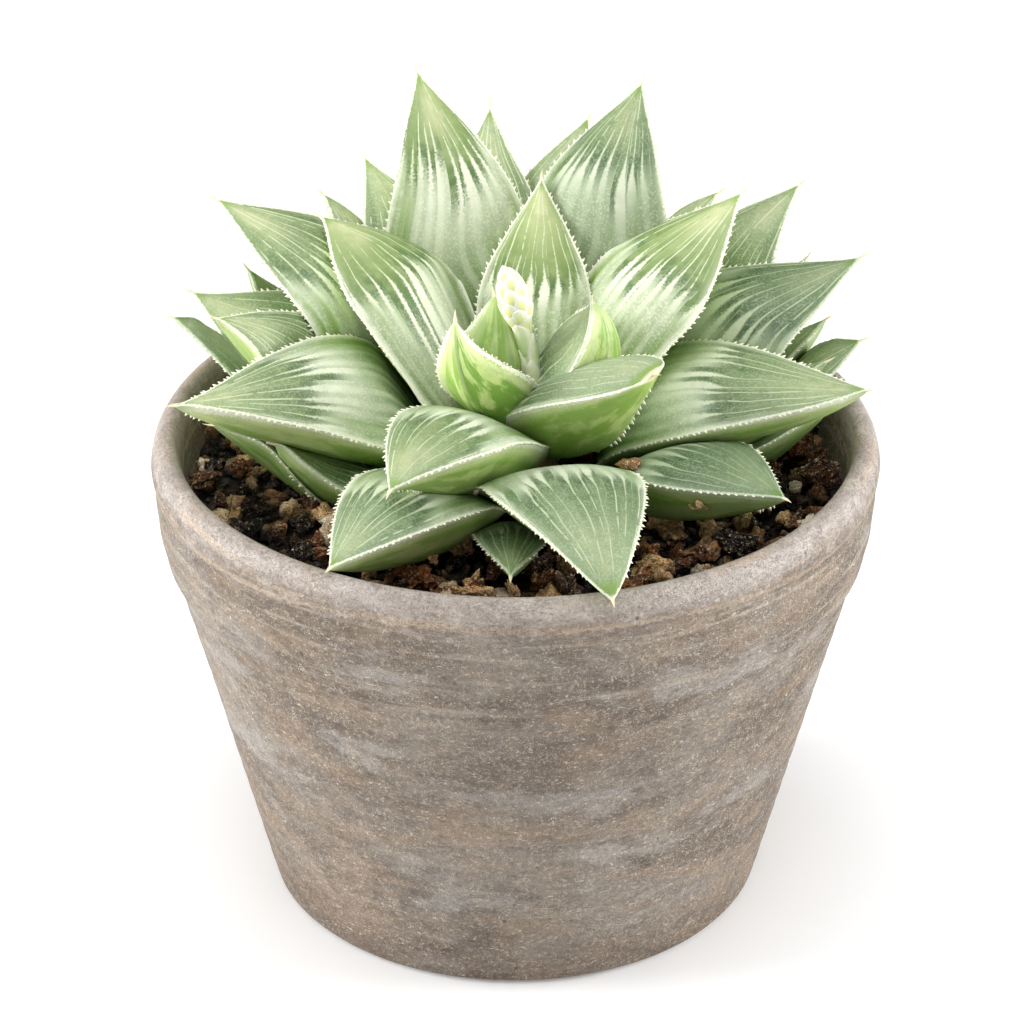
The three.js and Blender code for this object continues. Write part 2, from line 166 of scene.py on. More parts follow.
# %% [markdown]
# ## From arrays to meshes
# Nearly every piece here is a tube in the wide sense: rings of points, each joined to the next,
# with a point at both ends. One function gives the faces of such a tube, and one more makes the
# object, hangs it on the body it rides on and hides the solids of the frame that it stands for.
# A mesh whose faces point inwards looks wrong in other programs, so the volume is measured from
# the faces, and they are all turned round if it is negative.

# %% Faces of a tube
def grid_quads(rows, columns, rows_close=False, columns_close=True):
    """Quads of a grid of points, numbered row by row. Where the grid closes, its last row or
    column is joined to its first."""
    i = np.arange(rows if rows_close else rows - 1)[:, None]
    j = np.arange(columns if columns_close else columns - 1)[None, :]
    n, k = (i + 1) % rows, (j + 1) % columns
    corners = [i * columns + j, i * columns + k, n * columns + k, n * columns + j]
    return np.stack(corners, -1).reshape(-1, 4)


def tube_faces(rings, around):
    """Quads between neighbouring rings, and a fan of triangles to a first and a last point."""
    j = np.arange(around)
    k = (j + 1) % around
    last_ring, foot = (rings - 1) * around, np.full(around, rings * around)
    first = np.stack([k, j, foot], -1)
    last = np.stack([last_ring + j, last_ring + k, foot + 1], -1)
    return grid_quads(rings, around).tolist() + first.tolist() + last.tolist()


def tube_points(rings, foot, peak):
    """The ring points as one list, with the end points after them."""
    return np.concatenate([rings.reshape(-1, 3), [foot], [peak]])


print("a tube of 3 rings of 8 points has", len(tube_faces(3, 8)), "faces")

# %% Make a piece
def volume(points, faces):
    """Signed volume: a sixth of the box product of the three corners of each triangle. A
    four-cornered face is two triangles."""
    total = 0.0
    for corners in (3, 4):
        same = [face for face in faces if len(face) == corners]
        same = np.array(same, dtype=int).reshape(-1, corners)
        for n in range(1, corners - 1):
            a, b, c = points[same[:, 0]], points[same[:, n]], points[same[:, n + 1]]
            total += np.einsum("ij,ij->", a, np.cross(b, c)) / 6
    return total


def place_object(name, data):
    """A new object in the scene."""
    made = bpy.data.objects.new(name, data)
    scene.collection.objects.link(made)
    return made


def make_piece(name, points, faces, material, nodes=(), marks=None, crisp=False):
    """A mesh object from millimetre points, riding on the root body with faces outward.
    marks are numbers at the points, by name, for the material to read. A crisp piece shows
    its single faces."""
    if volume(points, faces) < 0:
        faces = [face[::-1] for face in faces]
    mesh = bpy.data.meshes.new(name)
    mesh.from_pydata((points * MM).tolist(), [], faces)
    mesh.polygons.foreach_set("use_smooth", [not crisp] * len(mesh.polygons))
    for mark, values in (marks or {}).items():
        layer = mesh.attributes.new(mark, "FLOAT", "POINT")
        layer.data.foreach_set("value", np.asarray(values, np.float32))
    mesh.validate()
    mesh.update()
    mesh.materials.append(material)
    piece = place_object(name, mesh)
    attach(piece, "root")
    if nodes:
        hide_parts(*nodes)
    return piece


# %% [markdown]
# ## Writing shader nodes as sums
# A finish is a recipe of many small nodes. Written out one by one they are hard to read, so a
# helper lets sockets be added and multiplied like numbers. Each operation adds one Math node
# behind the scenes. The recipe then reads as what it means: this mask times that noise.

# %% Signals between nodes
def operation(kind, swapped=False):
    """A method that works on a signal through one Math node."""
    def work(self, *others):
        values = (*others, self) if swapped else (self, *others)
        return self.wires.number(kind, *values)
    return work


class Signal:
    """A socket in a node tree that can be added and multiplied like a number."""

    def __init__(self, wires, socket):
        self.wires, self.socket = wires, socket

    __add__ = __radd__ = operation("ADD")
    __sub__, __rsub__ = operation("SUBTRACT"), operation("SUBTRACT", swapped=True)
    __mul__ = __rmul__ = operation("MULTIPLY")
    __truediv__, __pow__ = operation("DIVIDE"), operation("POWER")
    __abs__, __round__, __floor__ = map(operation, ("ABSOLUTE", "ROUND", "FLOOR"))
    at_least, at_most = operation("MAXIMUM"), operation("MINIMUM")

    def rise(self, start, end):
        """0 to 1 along an S-curve as the signal goes from start to end, which may be lower."""
        limits = {"Value": self, "From Min": start, "From Max": end}
        return self.wires.signal("ShaderNodeMapRange", "Result", limits,
                                 interpolation_type="SMOOTHSTEP")


print("a signal can also:", [name for name in vars(Signal) if name[0] != "_"])

# %% Wires between signals
class Wires:
    """Adds nodes to one tree and joins them."""

    def __init__(self, tree):
        self.tree = tree

    def join(self, value, socket):
        """Links a signal to a socket, or sets the socket to a plain value."""
        if isinstance(value, Signal):
            self.tree.links.new(value.socket, socket)
        else:
            socket.default_value = value

    def node(self, kind, inputs=None, **settings):
        """A new node with its settings, its inputs joined to signals or set to values."""
        made = self.tree.nodes.new(kind)
        for name, value in settings.items():
            setattr(made, name, value)
        for name, value in (inputs or {}).items():
            self.join(value, made.inputs[name])
        return made

    def signal(self, kind, output, inputs=None, **settings):
        """One output of a new node, as a signal."""
        return Signal(self, self.node(kind, inputs, **settings).outputs[output])

    def number(self, kind, *values):
        return self.signal("ShaderNodeMath", 0, dict(enumerate(values)), operation=kind)

    def blend(self, share, low, high, way="MIX"):
        """Colour low where share is 0 and colour high where it is 1."""
        return self.signal("ShaderNodeMix", 2, {0: share, 6: low, 7: high}, data_type="RGBA",
                           blend_type=way)

    def coats(self, color, *layers):
        """Coats of paint over a colour, each with its share and its own colour."""
        for share, coat in layers:
            color = self.blend(share, color, coat)
        return color

    def mark(self, name):
        return self.signal("ShaderNodeAttribute", "Fac", attribute_name=name)

    def vector(self, x, y, z):
        return self.signal("ShaderNodeCombineXYZ", 0, {0: x, 1: y, 2: z})

    def part(self, vector, axis):
        return self.signal("ShaderNodeSeparateXYZ", axis, {"Vector": vector})

    def place(self, stretch=(1, 1, 1)):
        """The point on the object in millimetres, stretched along X, Y and Z."""
        point = self.signal("ShaderNodeTexCoord", "Object")
        scale = tuple(s / MM for s in stretch)
        return self.signal("ShaderNodeMapping", 0, {"Vector": point, "Scale": scale})

    def noise(self, vector, scale, detail=2.0, warp=0.0, rough=0.5):
        inputs = {"Vector": vector, "Scale": scale, "Detail": detail, "Roughness": rough,
                  "Distortion": warp}
        return self.signal("ShaderNodeTexNoise", 0, inputs)

    def cells(self, vector, scale):
        """Distance from the middle of the nearest cell, for grains and pits."""
        return self.signal("ShaderNodeTexVoronoi", "Distance", {"Vector": vector, "Scale": scale})

    def chance(self, value):
        """A random number that depends only on the value."""
        return self.signal("ShaderNodeTexWhiteNoise", "Value", {"W": value},
                           noise_dimensions="1D")


print("wires can make:", [name for name in vars(Wires) if name[0] != "_"])

# %% [markdown]
# ## Groups and shaders
# Several finishes share an effect, such as the grain of fired clay, bark and pumice. Such an
# effect is a node group, built once and placed in each material with its own values. The group
# gives only colours, masks and heights. The shader itself stays in the material, because some
# programs that read materials can't look inside a group for it.

# %% Groups and shaders
KINDS = {float: "NodeSocketFloat", tuple: "NodeSocketColor"}


def new_group(name, inputs, outputs):
    """An empty node group with named sockets, its wires, and a signal for each input."""
    tree = bpy.data.node_groups.new(name, "ShaderNodeTree")
    for label, value in inputs.items():
        socket = tree.interface.new_socket(label, in_out="INPUT", socket_type=KINDS[type(value)])
        socket.default_value = value
    for label, kind in outputs.items():
        tree.interface.new_socket(label, in_out="OUTPUT", socket_type=KINDS[kind])
    wires = Wires(tree)
    source = wires.node("NodeGroupInput")
    return wires, {label: Signal(wires, source.outputs[label]) for label in inputs}


def close_group(wires, results):
    """Joins the results to the group's outputs."""
    wires.node("NodeGroupOutput", results)
    return wires.tree


def place_group(wires, tree, values):
    """Puts a group in a material and gives a signal for each of its outputs."""
    made = wires.node("ShaderNodeGroup", values, node_tree=tree)
    return {socket.name: Signal(wires, socket) for socket in made.outputs}


def new_material(name):
    """A material with only a shader and an output, its wires and its shader."""
    material = bpy.data.materials.new(name)
    material.use_nodes = True
    wires = Wires(material.node_tree)
    return material, wires, material.node_tree.nodes["Principled BSDF"]


def set_values(shader, values):
    """Values that are the same all over a surface, set on the shader's own sockets."""
    for socket, value in values.items():
        shader.inputs[socket].default_value = value


def finish_surface(wires, shader, color, roughness, height, depth):
    """Joins colour and roughness to the shader, and the height through a Bump node.
    depth is how far, in millimetres, a height of 1 stands above a height of 0."""
    wires.join(color, shader.inputs["Base Color"])
    wires.join(roughness, shader.inputs["Roughness"])
    bump = wires.node("ShaderNodeBump", {"Height": height, "Distance": depth * MM})
    wires.tree.links.new(bump.outputs["Normal"], shader.inputs["Normal"])


print("a group's sockets may be:", ", ".join(KINDS.values()))

# %% [markdown]
# ## The camera, the light and the floor
# The camera looks down on the plant at a little under 29 degrees, from 60 cm away through a
# long lens. The floor is plain and nearly white, and it glows a little, so that no shadow gets
# dark. Light comes from a pale sky all round and from four soft panels: one overhead, one on
# the left, one on the right and a weak one in front.

# %% Camera
VIEW_ANGLE = math.radians(28.7)
AIM = Vector((0, 0, 0.0554))
DISTANCE = 0.6

camera_data = bpy.data.cameras.new("camera")
camera_data.lens = 152.0
camera_data.sensor_width = 36
camera_data.shift_x = -0.0034
camera = place_object("camera", camera_data)
camera.location = AIM + DISTANCE * Vector((0, -math.cos(VIEW_ANGLE), math.sin(VIEW_ANGLE)))
camera.rotation_euler = (math.pi / 2 - VIEW_ANGLE, 0, 0)
scene.camera = camera
print("camera at", [round(c, 3) for c in camera.location])

# %% Light
SKY_STRENGTH = 0.22
PANELS = {  # where each stands, how long its sides are in metres, and its power in watts
    "overhead light": ((-0.05, -0.1, 1.05), 0.8, 7.4),
    "left light": ((-0.95, 0.0, 0.3), 0.6, 13.5),
    "right light": ((0.95, 0.05, 0.32), 0.6, 12.0),
    "front light": ((0.1, -1.25, 0.25), 0.8, 4.4),
}

scene.view_settings.view_transform = "Standard"
world = bpy.data.worlds.new("pale sky")
world.use_nodes = True
set_values(world.node_tree.nodes["Background"],
           {"Color": (1.0, 1.0, 1.0, 1.0), "Strength": SKY_STRENGTH})
scene.world = world

for name, (place, size, power) in PANELS.items():
    data = bpy.data.lights.new(name, "AREA")
    data.size = size
    data.energy = power
    panel = place_object(name, data)
    panel.location = place
    panel.rotation_euler = (AIM - panel.location).to_track_quat("-Z", "Y").to_euler()

# %% Floor
FLOOR_HALF = 3  # metres from the middle to each side

floor_material, _, floor_shader = new_material("pale floor")
set_values(floor_shader, {
    "Base Color": (0.9, 0.9, 0.9, 1), "Emission Color": (1, 1, 1, 1),
    "Emission Strength": 0.12, "Roughness": 0.9, "Specular IOR Level": 0.1,
})
floor_mesh = bpy.data.meshes.new("floor")
corners = [(-1, -1), (1, -1), (1, 1), (-1, 1)]
corners = [(x * FLOOR_HALF, y * FLOOR_HALF, 0) for x, y in corners]
floor_mesh.from_pydata(corners, [], [(0, 1, 2, 3)])
floor_mesh.materials.append(floor_material)
floor = place_object("floor", floor_mesh)
floor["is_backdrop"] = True
print("the floor is", 2 * FLOOR_HALF, "m wide")

# %% [markdown]
# ## The grain of minerals
# Stoneware, pumice and bark all break up into small light and dark flecks when seen close. The
# group below gives that to any colour: two sizes of noise pick out pale flecks and dark flecks,
# and their sum is also the height of the relief. Only the size, the strength and the two
# fleck colours change from one material to the next.

# %% Mineral grain
def mineral_grain():
    """Colour: the base, with dark and pale flecks where a fine noise is low or high."""
    wires, given = new_group(
        "Mineral grain",
        {"Base": paint(128, 120, 110), "Dark": paint(70, 60, 50), "Pale": paint(215, 205, 190),
         "Grains per mm": 1.5, "Strength": 0.6},
        {"Color": tuple, "Height": float},
    )
    point = wires.place()
    coarse = wires.noise(point, given["Grains per mm"], 2.0, 0.0, 0.65)
    fine = wires.noise(point, given["Grains per mm"] * 2.7, 1.0, 0.0, 0.6)
    both = coarse * 0.6 + fine * 0.4
    color = wires.coats(
        given["Base"],
        (both.rise(0.53, 0.66) * given["Strength"], given["Pale"]),
        (both.rise(0.47, 0.35) * given["Strength"], given["Dark"]),
    )
    return close_group(wires, {"Color": color, "Height": both})


GRAIN = mineral_grain()
print("grain group has", len(GRAIN.nodes), "nodes")

# %% [markdown]
# ## The stoneware finish
# The pot is unglazed stoneware, brown-grey and matt. Clouds of paler and warmer clay run through
# it, the fine grain breaks every patch up, and a few pits show where bits of grog fell out.
# Turning on the wheel draws faint level streaks, strongest on the collar and the lip. To get
# them, the point is squeezed across and stretched in height before it is turned to noise.
# The lip is paler, with a smooth, slightly shiny crown that carries a painted highlight, and a
# warm line runs round under it, a painted highlight along the small ridge there.
# Thin pale threads and dark hollows wander over the wall, as where wet clay was dragged.

# %% Colours and heights of the pot
# crown is a painted highlight on the lip's crown, and ridge a painted highlight along the small
# ridge under the lip
CLAY = palette(
    dark=(100, 89, 79), light=(133, 124, 115), warm=(146, 122, 98), cool=(168, 164, 160),
    pale_streak=(182, 170, 154), dark_streak=(106, 92, 80), blotch=(150, 130, 110),
    # foot is a painted shade for the bottom of the wall
    stain=(104, 92, 84), foot=(98, 80, 66), lip=(138, 126, 116), crown=(200, 190, 183),
    lip_mottle=(196, 186, 178), lip_streak=(190, 162, 132), ridge=(196, 170, 142),
    dark_grain=(84, 72, 62), pale_grain=(200, 190, 178), thread=(206, 192, 172),
    hollow=(72, 60, 50), pit=(62, 50, 42),
)
# the first pair of heights is where painted shade darkens the wall towards the bottom
FOOT_SHADE, COLLAR, LIP, CROWN = (14, 0), (44, 56), (62.8, 65.2), (65, 67.6)  # start and end, in mm
RIDGE_HEIGHT = 63.9
print("the pot has", len(CLAY), "colours")

# %% The parts of the stoneware finish
def wall_clay(wires, height_mm, wheel):
    """Clouds of clay, warm and cool patches, and the level streaks of the wheel."""
    clouds = wires.noise(wires.place((0.6, 0.6, 1.2)), 0.06, 3.0, 0.4, 0.62)
    tint = wires.noise(wires.place((0.7, 0.7, 1.8)), 0.08, 3.0, 0.0, 0.6)
    collar = height_mm.rise(*COLLAR)
    return wires.coats(
        wires.blend(clouds.rise(0.36, 0.64), CLAY["dark"], CLAY["light"]),
        (tint.rise(0.5, 0.66) * 0.5, CLAY["warm"]),
        (tint.rise(0.46, 0.34) * 0.5, CLAY["cool"]),
        ((collar * 0.4 + 0.15) * wheel.rise(0.5, 0.7), CLAY["pale_streak"]),
        ((collar * 0.35 + 0.15) * wheel.rise(0.48, 0.3), CLAY["dark_streak"]),
    )


def lip_coats(height_mm, depth_mm, wheel, mottle, lip, crown):
    """The coats of the lip, with a painted highlight on its crown, and the warm line that wanders
    a little round its lower edge, a painted highlight along the small ridge there.
    """
    narrower = depth_mm.rise(-30, -50) * 1.3
    # painted highlight: a warm pale line along the small ridge under the lip, a little lower at the
    # front
    ridge = abs(height_mm - narrower - RIDGE_HEIGHT + (mottle - 0.5) * 1.8)
    return [
        (lip * 0.5, CLAY["lip"]),
        # painted highlight on the lip's crown
        (crown * 0.4, CLAY["crown"]),
        (lip * mottle.rise(0.46, 0.7) * 0.5, CLAY["lip_mottle"]),
        (lip * wheel.rise(0.52, 0.68) * 0.4, CLAY["lip_streak"]),
        (ridge.rise(0.5, 0.1) * 0.4, CLAY["ridge"]),
    ]


def wandering_lines(wires, stretch, scale, warp, middle, width):
    """Thin lines where a warped noise passes through a middle value."""
    noise = wires.noise(wires.place(stretch), scale, 1.0, warp, 0.55)
    return abs(noise - middle).rise(width, width / 5)


print("the warm line under the lip runs", RIDGE_HEIGHT, "mm above the floor")

# %% Stoneware
def stoneware():
    """The wall's clay under the lip's coats, the grain over both, then threads and pits."""
    material, wires, shader = new_material("stoneware")
    point = wires.place()
    height_mm, depth_mm = wires.part(point, "Z"), wires.part(point, "Y")
    wheel = wires.noise(wires.place((0.05, 0.05, 1)), 0.8, 3.0, 0.0, 0.65)
    mottle = wires.noise(wires.place((0.6, 0.6, 1)), 0.55, 3.0, 0.0, 0.7)
    blotch = wires.noise(wires.place((0.6, 0.6, 1.3)), 0.22, 4.0, 0.4, 0.62)
    lip, crown = height_mm.rise(*LIP), height_mm.rise(*CROWN)
    clay = wires.coats(
        wall_clay(wires, height_mm, wheel),
        *lip_coats(height_mm, depth_mm, wheel, mottle, lip, crown),
        (blotch.rise(0.5, 0.66) * 0.3, CLAY["blotch"]),
        (blotch.rise(0.46, 0.32) * 0.25, CLAY["stain"]),
        # painted shade: the wall darkens towards the bottom, near the floor
        (height_mm.rise(*FOOT_SHADE) * 0.6, CLAY["foot"]),
    )
    grain = place_group(
        wires, GRAIN,
        {"Base": clay, "Dark": CLAY["dark_grain"], "Pale": CLAY["pale_grain"],
         "Grains per mm": 1.6, "Strength": 0.5},
    )

    thread = wandering_lines(wires, (0.7, 0.7, 1.2), 1.0, 2.6, 0.5, 0.04)
    hollow = wandering_lines(wires, (0.8, 0.8, 1.3), 1.1, 2.2, 0.48, 0.03)
    pit = wires.cells(point, 0.28).rise(0.11, 0.06)
    color = wires.coats(
        grain["Color"],
        (thread * mottle.rise(0.34, 0.52) * (1.0 - lip * 0.7) * 0.8, CLAY["thread"]),
        (hollow * mottle.rise(0.56, 0.42) * (1.0 - lip * 0.6) * 0.65, CLAY["hollow"]),
        (pit * wires.noise(point, 0.3, 1.0).rise(0.57, 0.63) * 0.7, CLAY["pit"]),
    )
    relief = grain["Height"] + thread * 0.4
    finish_surface(wires, shader, color, 0.8 - 0.36 * crown, relief, 0.24)
    set_values(shader, {"Specular IOR Level": 0.45})
    return material


STONEWARE = stoneware()
print("stoneware has", len(STONEWARE.node_tree.nodes), "nodes")

# %% [markdown]
# ## The pot's shape
# A thrown pot is a profile carried round an axis. The profile below is the pot's own, from the
# drain hole along the base, up the wall, over the lip and down inside. It is cut into steps of
# a quarter of a millimetre, a short moving average rounds each corner as a wet sponge does, and
# every third point is kept. Then the radius gets the potter's small errors: faint rings and a
# slow wobble.

# %% The pot's profile
POT_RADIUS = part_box("pot")[1].x / MM
POT_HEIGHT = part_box("pot")[1].z / MM
SOIL_TOP = 61.0
DRAIN_RADIUS = 5.0
POT_PROFILE = np.array([
    (DRAIN_RADIUS, 0), (33.4, 0), (34.4, 0.5), (34.8, 1.6), (47.2, 50.2), (48.3, 52.2),
    (49.2, 56.5), (49.65, 62.3), (49.5, 63.3), (49.95, 64.2), (50.05, 65.4), (49.7, 66.8),
    (48.7, 68.5), (47.6, 69), (46.7, 68.7), (46.2, 67.4), (45.7, 64.5), (45.3, 61),
    (43.3, 50.5), (32, 9), (30.6, 6), (DRAIN_RADIUS, 6),
])


def even_steps(points, step):
    """Points at even distances along a line of straight stretches."""
    lengths = np.concatenate([[0], np.cumsum(np.linalg.norm(np.diff(points, axis=0), axis=1))])
    marks = np.arange(0, lengths[-1], step)
    return np.stack([np.interp(marks, lengths, points[:, n]) for n in range(2)], -1)


profile = evened(even_steps(POT_PROFILE, 0.25), 2)[::3]
print("pot", round(POT_RADIUS * 2, 1), "mm wide,", round(POT_HEIGHT, 1), "mm high,",
      len(profile), "points in its profile")

# %% Turn the pot
POT_SIDES = 224
WOBBLE = 0.12


def pot_shape(line):
    """Radius and height carried round Z, the radius off by a slow noise of angle and height.
    The line closes on itself, so the shape is a ring with no ends."""
    angles = circle(POT_SIDES)
    radius, height = line[:, :1], line[:, 1:]
    where = turned(2.2, height * 0.06, angles)
    rings = np.sin(height * 1.7 + 0.6 * np.sin(height * 0.37)) * 0.035
    worn = radius + smooth(radius, 8, 30) * (WOBBLE * lattice_noise(where, 5) + rings)
    return turned(worn, height, angles)


pot_points = pot_shape(profile).reshape(-1, 3)
pot_faces = grid_quads(len(profile), POT_SIDES, rows_close=True).tolist()
make_piece("stoneware_pot", pot_points, pot_faces, STONEWARE, ["pot"])
print("pot has", len(pot_faces) * 2, "triangles")

# %% [markdown]
# ## The bed of potting mix
# Under the loose bits lies a dark bed of damp peat. It is a disc with a fine, lumpy surface,
# closed underneath, and wide enough to meet the pot's inner wall all round. Its height is a
# layered noise, so that the bits that lie on it sit at different levels.

# %% Peat
def peat():
    """Dark peat, darker where it is damp, under coarse mineral grain."""
    material, wires, shader = new_material("peat")
    damp_and_depth_shade = wires.noise(wires.place(), 0.25, 3.0).rise(0.4, 0.65)
    grain = place_group(
        wires, GRAIN,
        {"Base": wires.blend(damp_and_depth_shade, paint(10, 6, 4), paint(34, 22, 15)),
         "Dark": paint(10, 6, 5), "Pale": paint(96, 66, 46),
         "Grains per mm": 1.1, "Strength": 0.6},
    )
    finish_surface(wires, shader, grain["Color"], 0.85, grain["Height"], 0.6)
    return material


def bed_height(x, y):
    """Height of the peat: three layers of noise, a little higher in the middle."""
    where = np.stack([x * 0.22, y * 0.22, x * 0], -1)
    return SOIL_TOP - 1.6 + 1.2 * layered_noise(where, 11) + 0.4 * (1 - np.hypot(x, y) / 45)


PEAT = peat()
print("the peat is", round(float(bed_height(0.0, 0.0)), 1), "mm high in the middle")

# %% The peat bed
BED_RADIUS = 45.15
BED_SIDE = np.array([(43.0, 50.5), (32.2, 9.0), (30.2, 6.4)])  # radius and height, downwards
BED_TURNS = circle(180)

bed_radii = np.linspace(0, 1, 61)[1:, None] ** 0.8 * BED_RADIUS
bed_top = turned(bed_radii, 0.0, BED_TURNS)
bed_top[..., 2] = bed_height(bed_top[..., 0], bed_top[..., 1])
bed_rings = np.concatenate([bed_top, turned(BED_SIDE[:, :1], BED_SIDE[:, 1:], BED_TURNS)])
bed_points = tube_points(bed_rings, [0, 0, bed_height(0.0, 0.0)], [0, 0, BED_SIDE[-1, 1]])
bed_faces = tube_faces(len(bed_rings), len(BED_TURNS))
make_piece("peat_bed", bed_points, bed_faces, PEAT, ["soil"])
print("peat bed has", len(bed_points), "points")

# %% [markdown]
# ## Bark, pumice and crumbs
# Hundreds of loose bits lie on the peat: torn bark, rounded pumice and small crumbs. One unit
# ball is the start of them all: 20 triangles are enough for a crumb, and the larger bits take
# 320, for a torn surface. For bark its points are pushed outwards towards a box, for pumice it
# stays round, and noise dents every copy differently. The copies are placed along a sunflower
# spiral, which spreads points evenly over a disc with no rows, and then shaken.

# %% Unit shapes
def unit_ball(level):
    """The points and triangles of a ball made of equal triangles."""
    shape = bmesh.new()
    bmesh.ops.create_icosphere(shape, subdivisions=level, radius=1)
    points = np.array([vertex.co[:] for vertex in shape.verts])
    faces = np.array([[vertex.index for vertex in face.verts] for face in shape.faces])
    shape.free()
    return points, faces


def random_turns(count, tilt, random):
    """Turning matrices: any turn about Z, then a tilt of up to the given angle about X."""
    yaw = random.uniform(0, 2 * np.pi, count)
    lean = random.uniform(-tilt, tilt, count)
    one, zero = np.ones(count), np.zeros(count)
    about_z = np.array([[np.cos(yaw), -np.sin(yaw), zero], [np.sin(yaw), np.cos(yaw), zero],
                        [zero, zero, one]])
    about_x = np.array([[one, zero, zero], [zero, np.cos(lean), -np.sin(lean)],
                        [zero, np.sin(lean), np.cos(lean)]])
    return np.einsum("ijn,jkn->nik", about_z, about_x)


def sunflower(count, reach, shake, random):
    """Points on a disc: each is the golden angle further round, its radius the root of its rank."""
    rank = np.arange(count) + 0.5
    radius, angle = reach * np.sqrt(rank / count), rank * GOLDEN_ANGLE
    spots = np.stack([radius * np.cos(angle), radius * np.sin(angle)], -1)
    return spots + random.uniform(-shake, shake, spots.shape)


print("unit balls have", [len(unit_ball(level)[1]) for level in (1, 2, 3)], "triangles")

# %% Scatter bits
INNER_WALL = 44.6  # radius that every bit stays within


def scatter(count, level, least, most, boxy, dent, reach, seed, sunk=0.1, shake=2.0, tilt=0.6,
            heap=0.0):
    """Points, faces and a random mark for many bits. least and most are the half-lengths of a
    bit in X, Y and Z. boxy, from 0 to 1, pushes a ball towards a box. A heap of bits lies on
    other bits, up to that much higher."""
    random = np.random.default_rng(seed)
    ball, faces = unit_ball(level)
    box = np.sign(ball) * np.abs(ball) ** (1 - 0.6 * boxy)
    low, high = np.array(least), np.array(most)
    half = low + (high - low) * random.uniform(0, 1, (count, 1, 3)) ** 1.5
    offsets = random.uniform(0, 900, (count, 1, 3))
    dents = 1 + dent * layered_noise(box * 1.6 + offsets, seed, 3) * 0.7
    shapes = box * dents[..., None] * half
    shapes = np.einsum("nij,nvj->nvi", random_turns(count, tilt, random), shapes)
    spots = sunflower(count, reach, shake, random)
    away = np.hypot(spots[:, 0], spots[:, 1])
    limit = INNER_WALL - half[:, 0, :2].max(axis=1)
    spots *= np.minimum(1, limit / np.maximum(away, 1e-6))[:, None]
    level_mm = bed_height(spots[:, 0], spots[:, 1]) + half[:, 0, 2] * (1 - 2 * sunk)
    level_mm += heap * random.uniform(0, 1, count)
    shapes += np.concatenate([spots, level_mm[:, None]], -1)[:, None, :]
    all_faces = faces[None] + (np.arange(count) * len(ball))[:, None, None]
    marks = random.uniform(0, 1, count).repeat(len(ball))
    return shapes.reshape(-1, 3), all_faces.reshape(-1, 3).tolist(), {"bit": marks}


print("bits stay within", INNER_WALL, "mm of the pot's middle")

# %% A finish for bits
# painted shade: bits darken below the first height and are almost black below the second
UNSHADED_ABOVE, FULL_SHADE_BELOW = SOIL_TOP + 1.7, SOIL_TOP - 0.7  # heights in mm


def gritty(name, paints, roughness, grains, relief):
    """A finish for loose bits: each takes a dark, middle or light colour by its mark, under
    mineral grain with pale flecks. Deeper down it darkens to almost black, a painted shade."""
    dark, middle, light, fleck = (paint(*shade) for shade in paints)
    material, wires, shader = new_material(name)
    mark, point = wires.mark("bit"), wires.place()
    color = wires.coats(
        dark,
        (mark.rise(0.1, 0.65), middle),
        (mark.rise(0.55, 0.95), light),
        (wires.noise(point, 0.5, 2.0).rise(0.42, 0.6) * 0.6, dark),
    )
    grain = place_group(
        wires, GRAIN,
        {"Base": color, "Dark": dark, "Pale": fleck, "Grains per mm": grains,
         "Strength": 0.7},
    )
    # painted shade: what lies deeper, in the gaps between the bits, darkens to almost black
    damp_and_depth_shade = wires.part(point, "Z").rise(UNSHADED_ABOVE, FULL_SHADE_BELOW) * 0.92
    color = wires.blend(damp_and_depth_shade, grain["Color"], paint(14, 9, 6))
    finish_surface(wires, shader, color, roughness, grain["Height"], relief)
    return material


# these heights bound the painted shade in the gaps; the bits are darkened there, not wet
print("bits are dry above", UNSHADED_ABOVE, "mm and wet below", FULL_SHADE_BELOW, "mm")

# %% Every kind of bit
BITS = {  # the piece: its finish, whether its faces are crisp, and how it is scattered
    "bark_chips": (
        ("bark", [(26, 13, 7), (158, 92, 48), (255, 206, 146), (255, 234, 200)], 0.34, 1.5, 2.0),
        True,
        dict(count=540, level=3, least=(0.7, 0.5, 0.45), most=(2.5, 1.8, 1.4), boxy=0.6,
             dent=0.95, reach=43.5, seed=21, tilt=1.4, heap=2.6)),
    "pumice_grit": (
        ("pumice", [(156, 110, 66), (240, 198, 146), (255, 240, 210), (255, 252, 238)],
         0.65, 1.5, 1.8),
        False,
        dict(count=130, level=3, least=(0.8, 0.75, 0.7), most=(2.4, 2.0, 1.7), boxy=0.1,
             dent=0.6, reach=43.5, seed=34, heap=2.4)),
    "peat_crumbs": (
        ("crumbs", [(14, 9, 6), (84, 52, 32), (206, 154, 108), (240, 206, 164)], 0.45, 1.8, 0.6),
        True,
        dict(count=2200, level=1, least=(0.3, 0.3, 0.25), most=(1.3, 1.1, 0.8), boxy=0.5,
             dent=0.5, reach=44.0, seed=47)),
    "perlite": (
        ("perlite", [(190, 188, 180), (224, 222, 214), (240, 240, 236), (250, 250, 248)],
         0.6, 1.8, 0.3),
        False,
        dict(count=46, level=2, least=(0.35, 0.35, 0.3), most=(0.8, 0.8, 0.6), boxy=0.1,
             dent=0.3, reach=43.0, seed=58, sunk=0.0, shake=3.5)),
}

for name, (finish, crisp, spread) in BITS.items():
    points, faces, marks = scatter(**spread)
    make_piece(name, points, faces, gritty(*finish), marks=marks, crisp=crisp)
    print(name, "has", len(faces), "triangles")

# %% [markdown]
# ## What fell on the leaves
# A plant that was potted lately has a few bits on it. A dry, curled husk clings to the back of
# one outer leaf, and a crumb of bark rests where another leaf starts. The husk is a strip whose
# cross-section is a flat oval, swept along a hook and twisted a little.

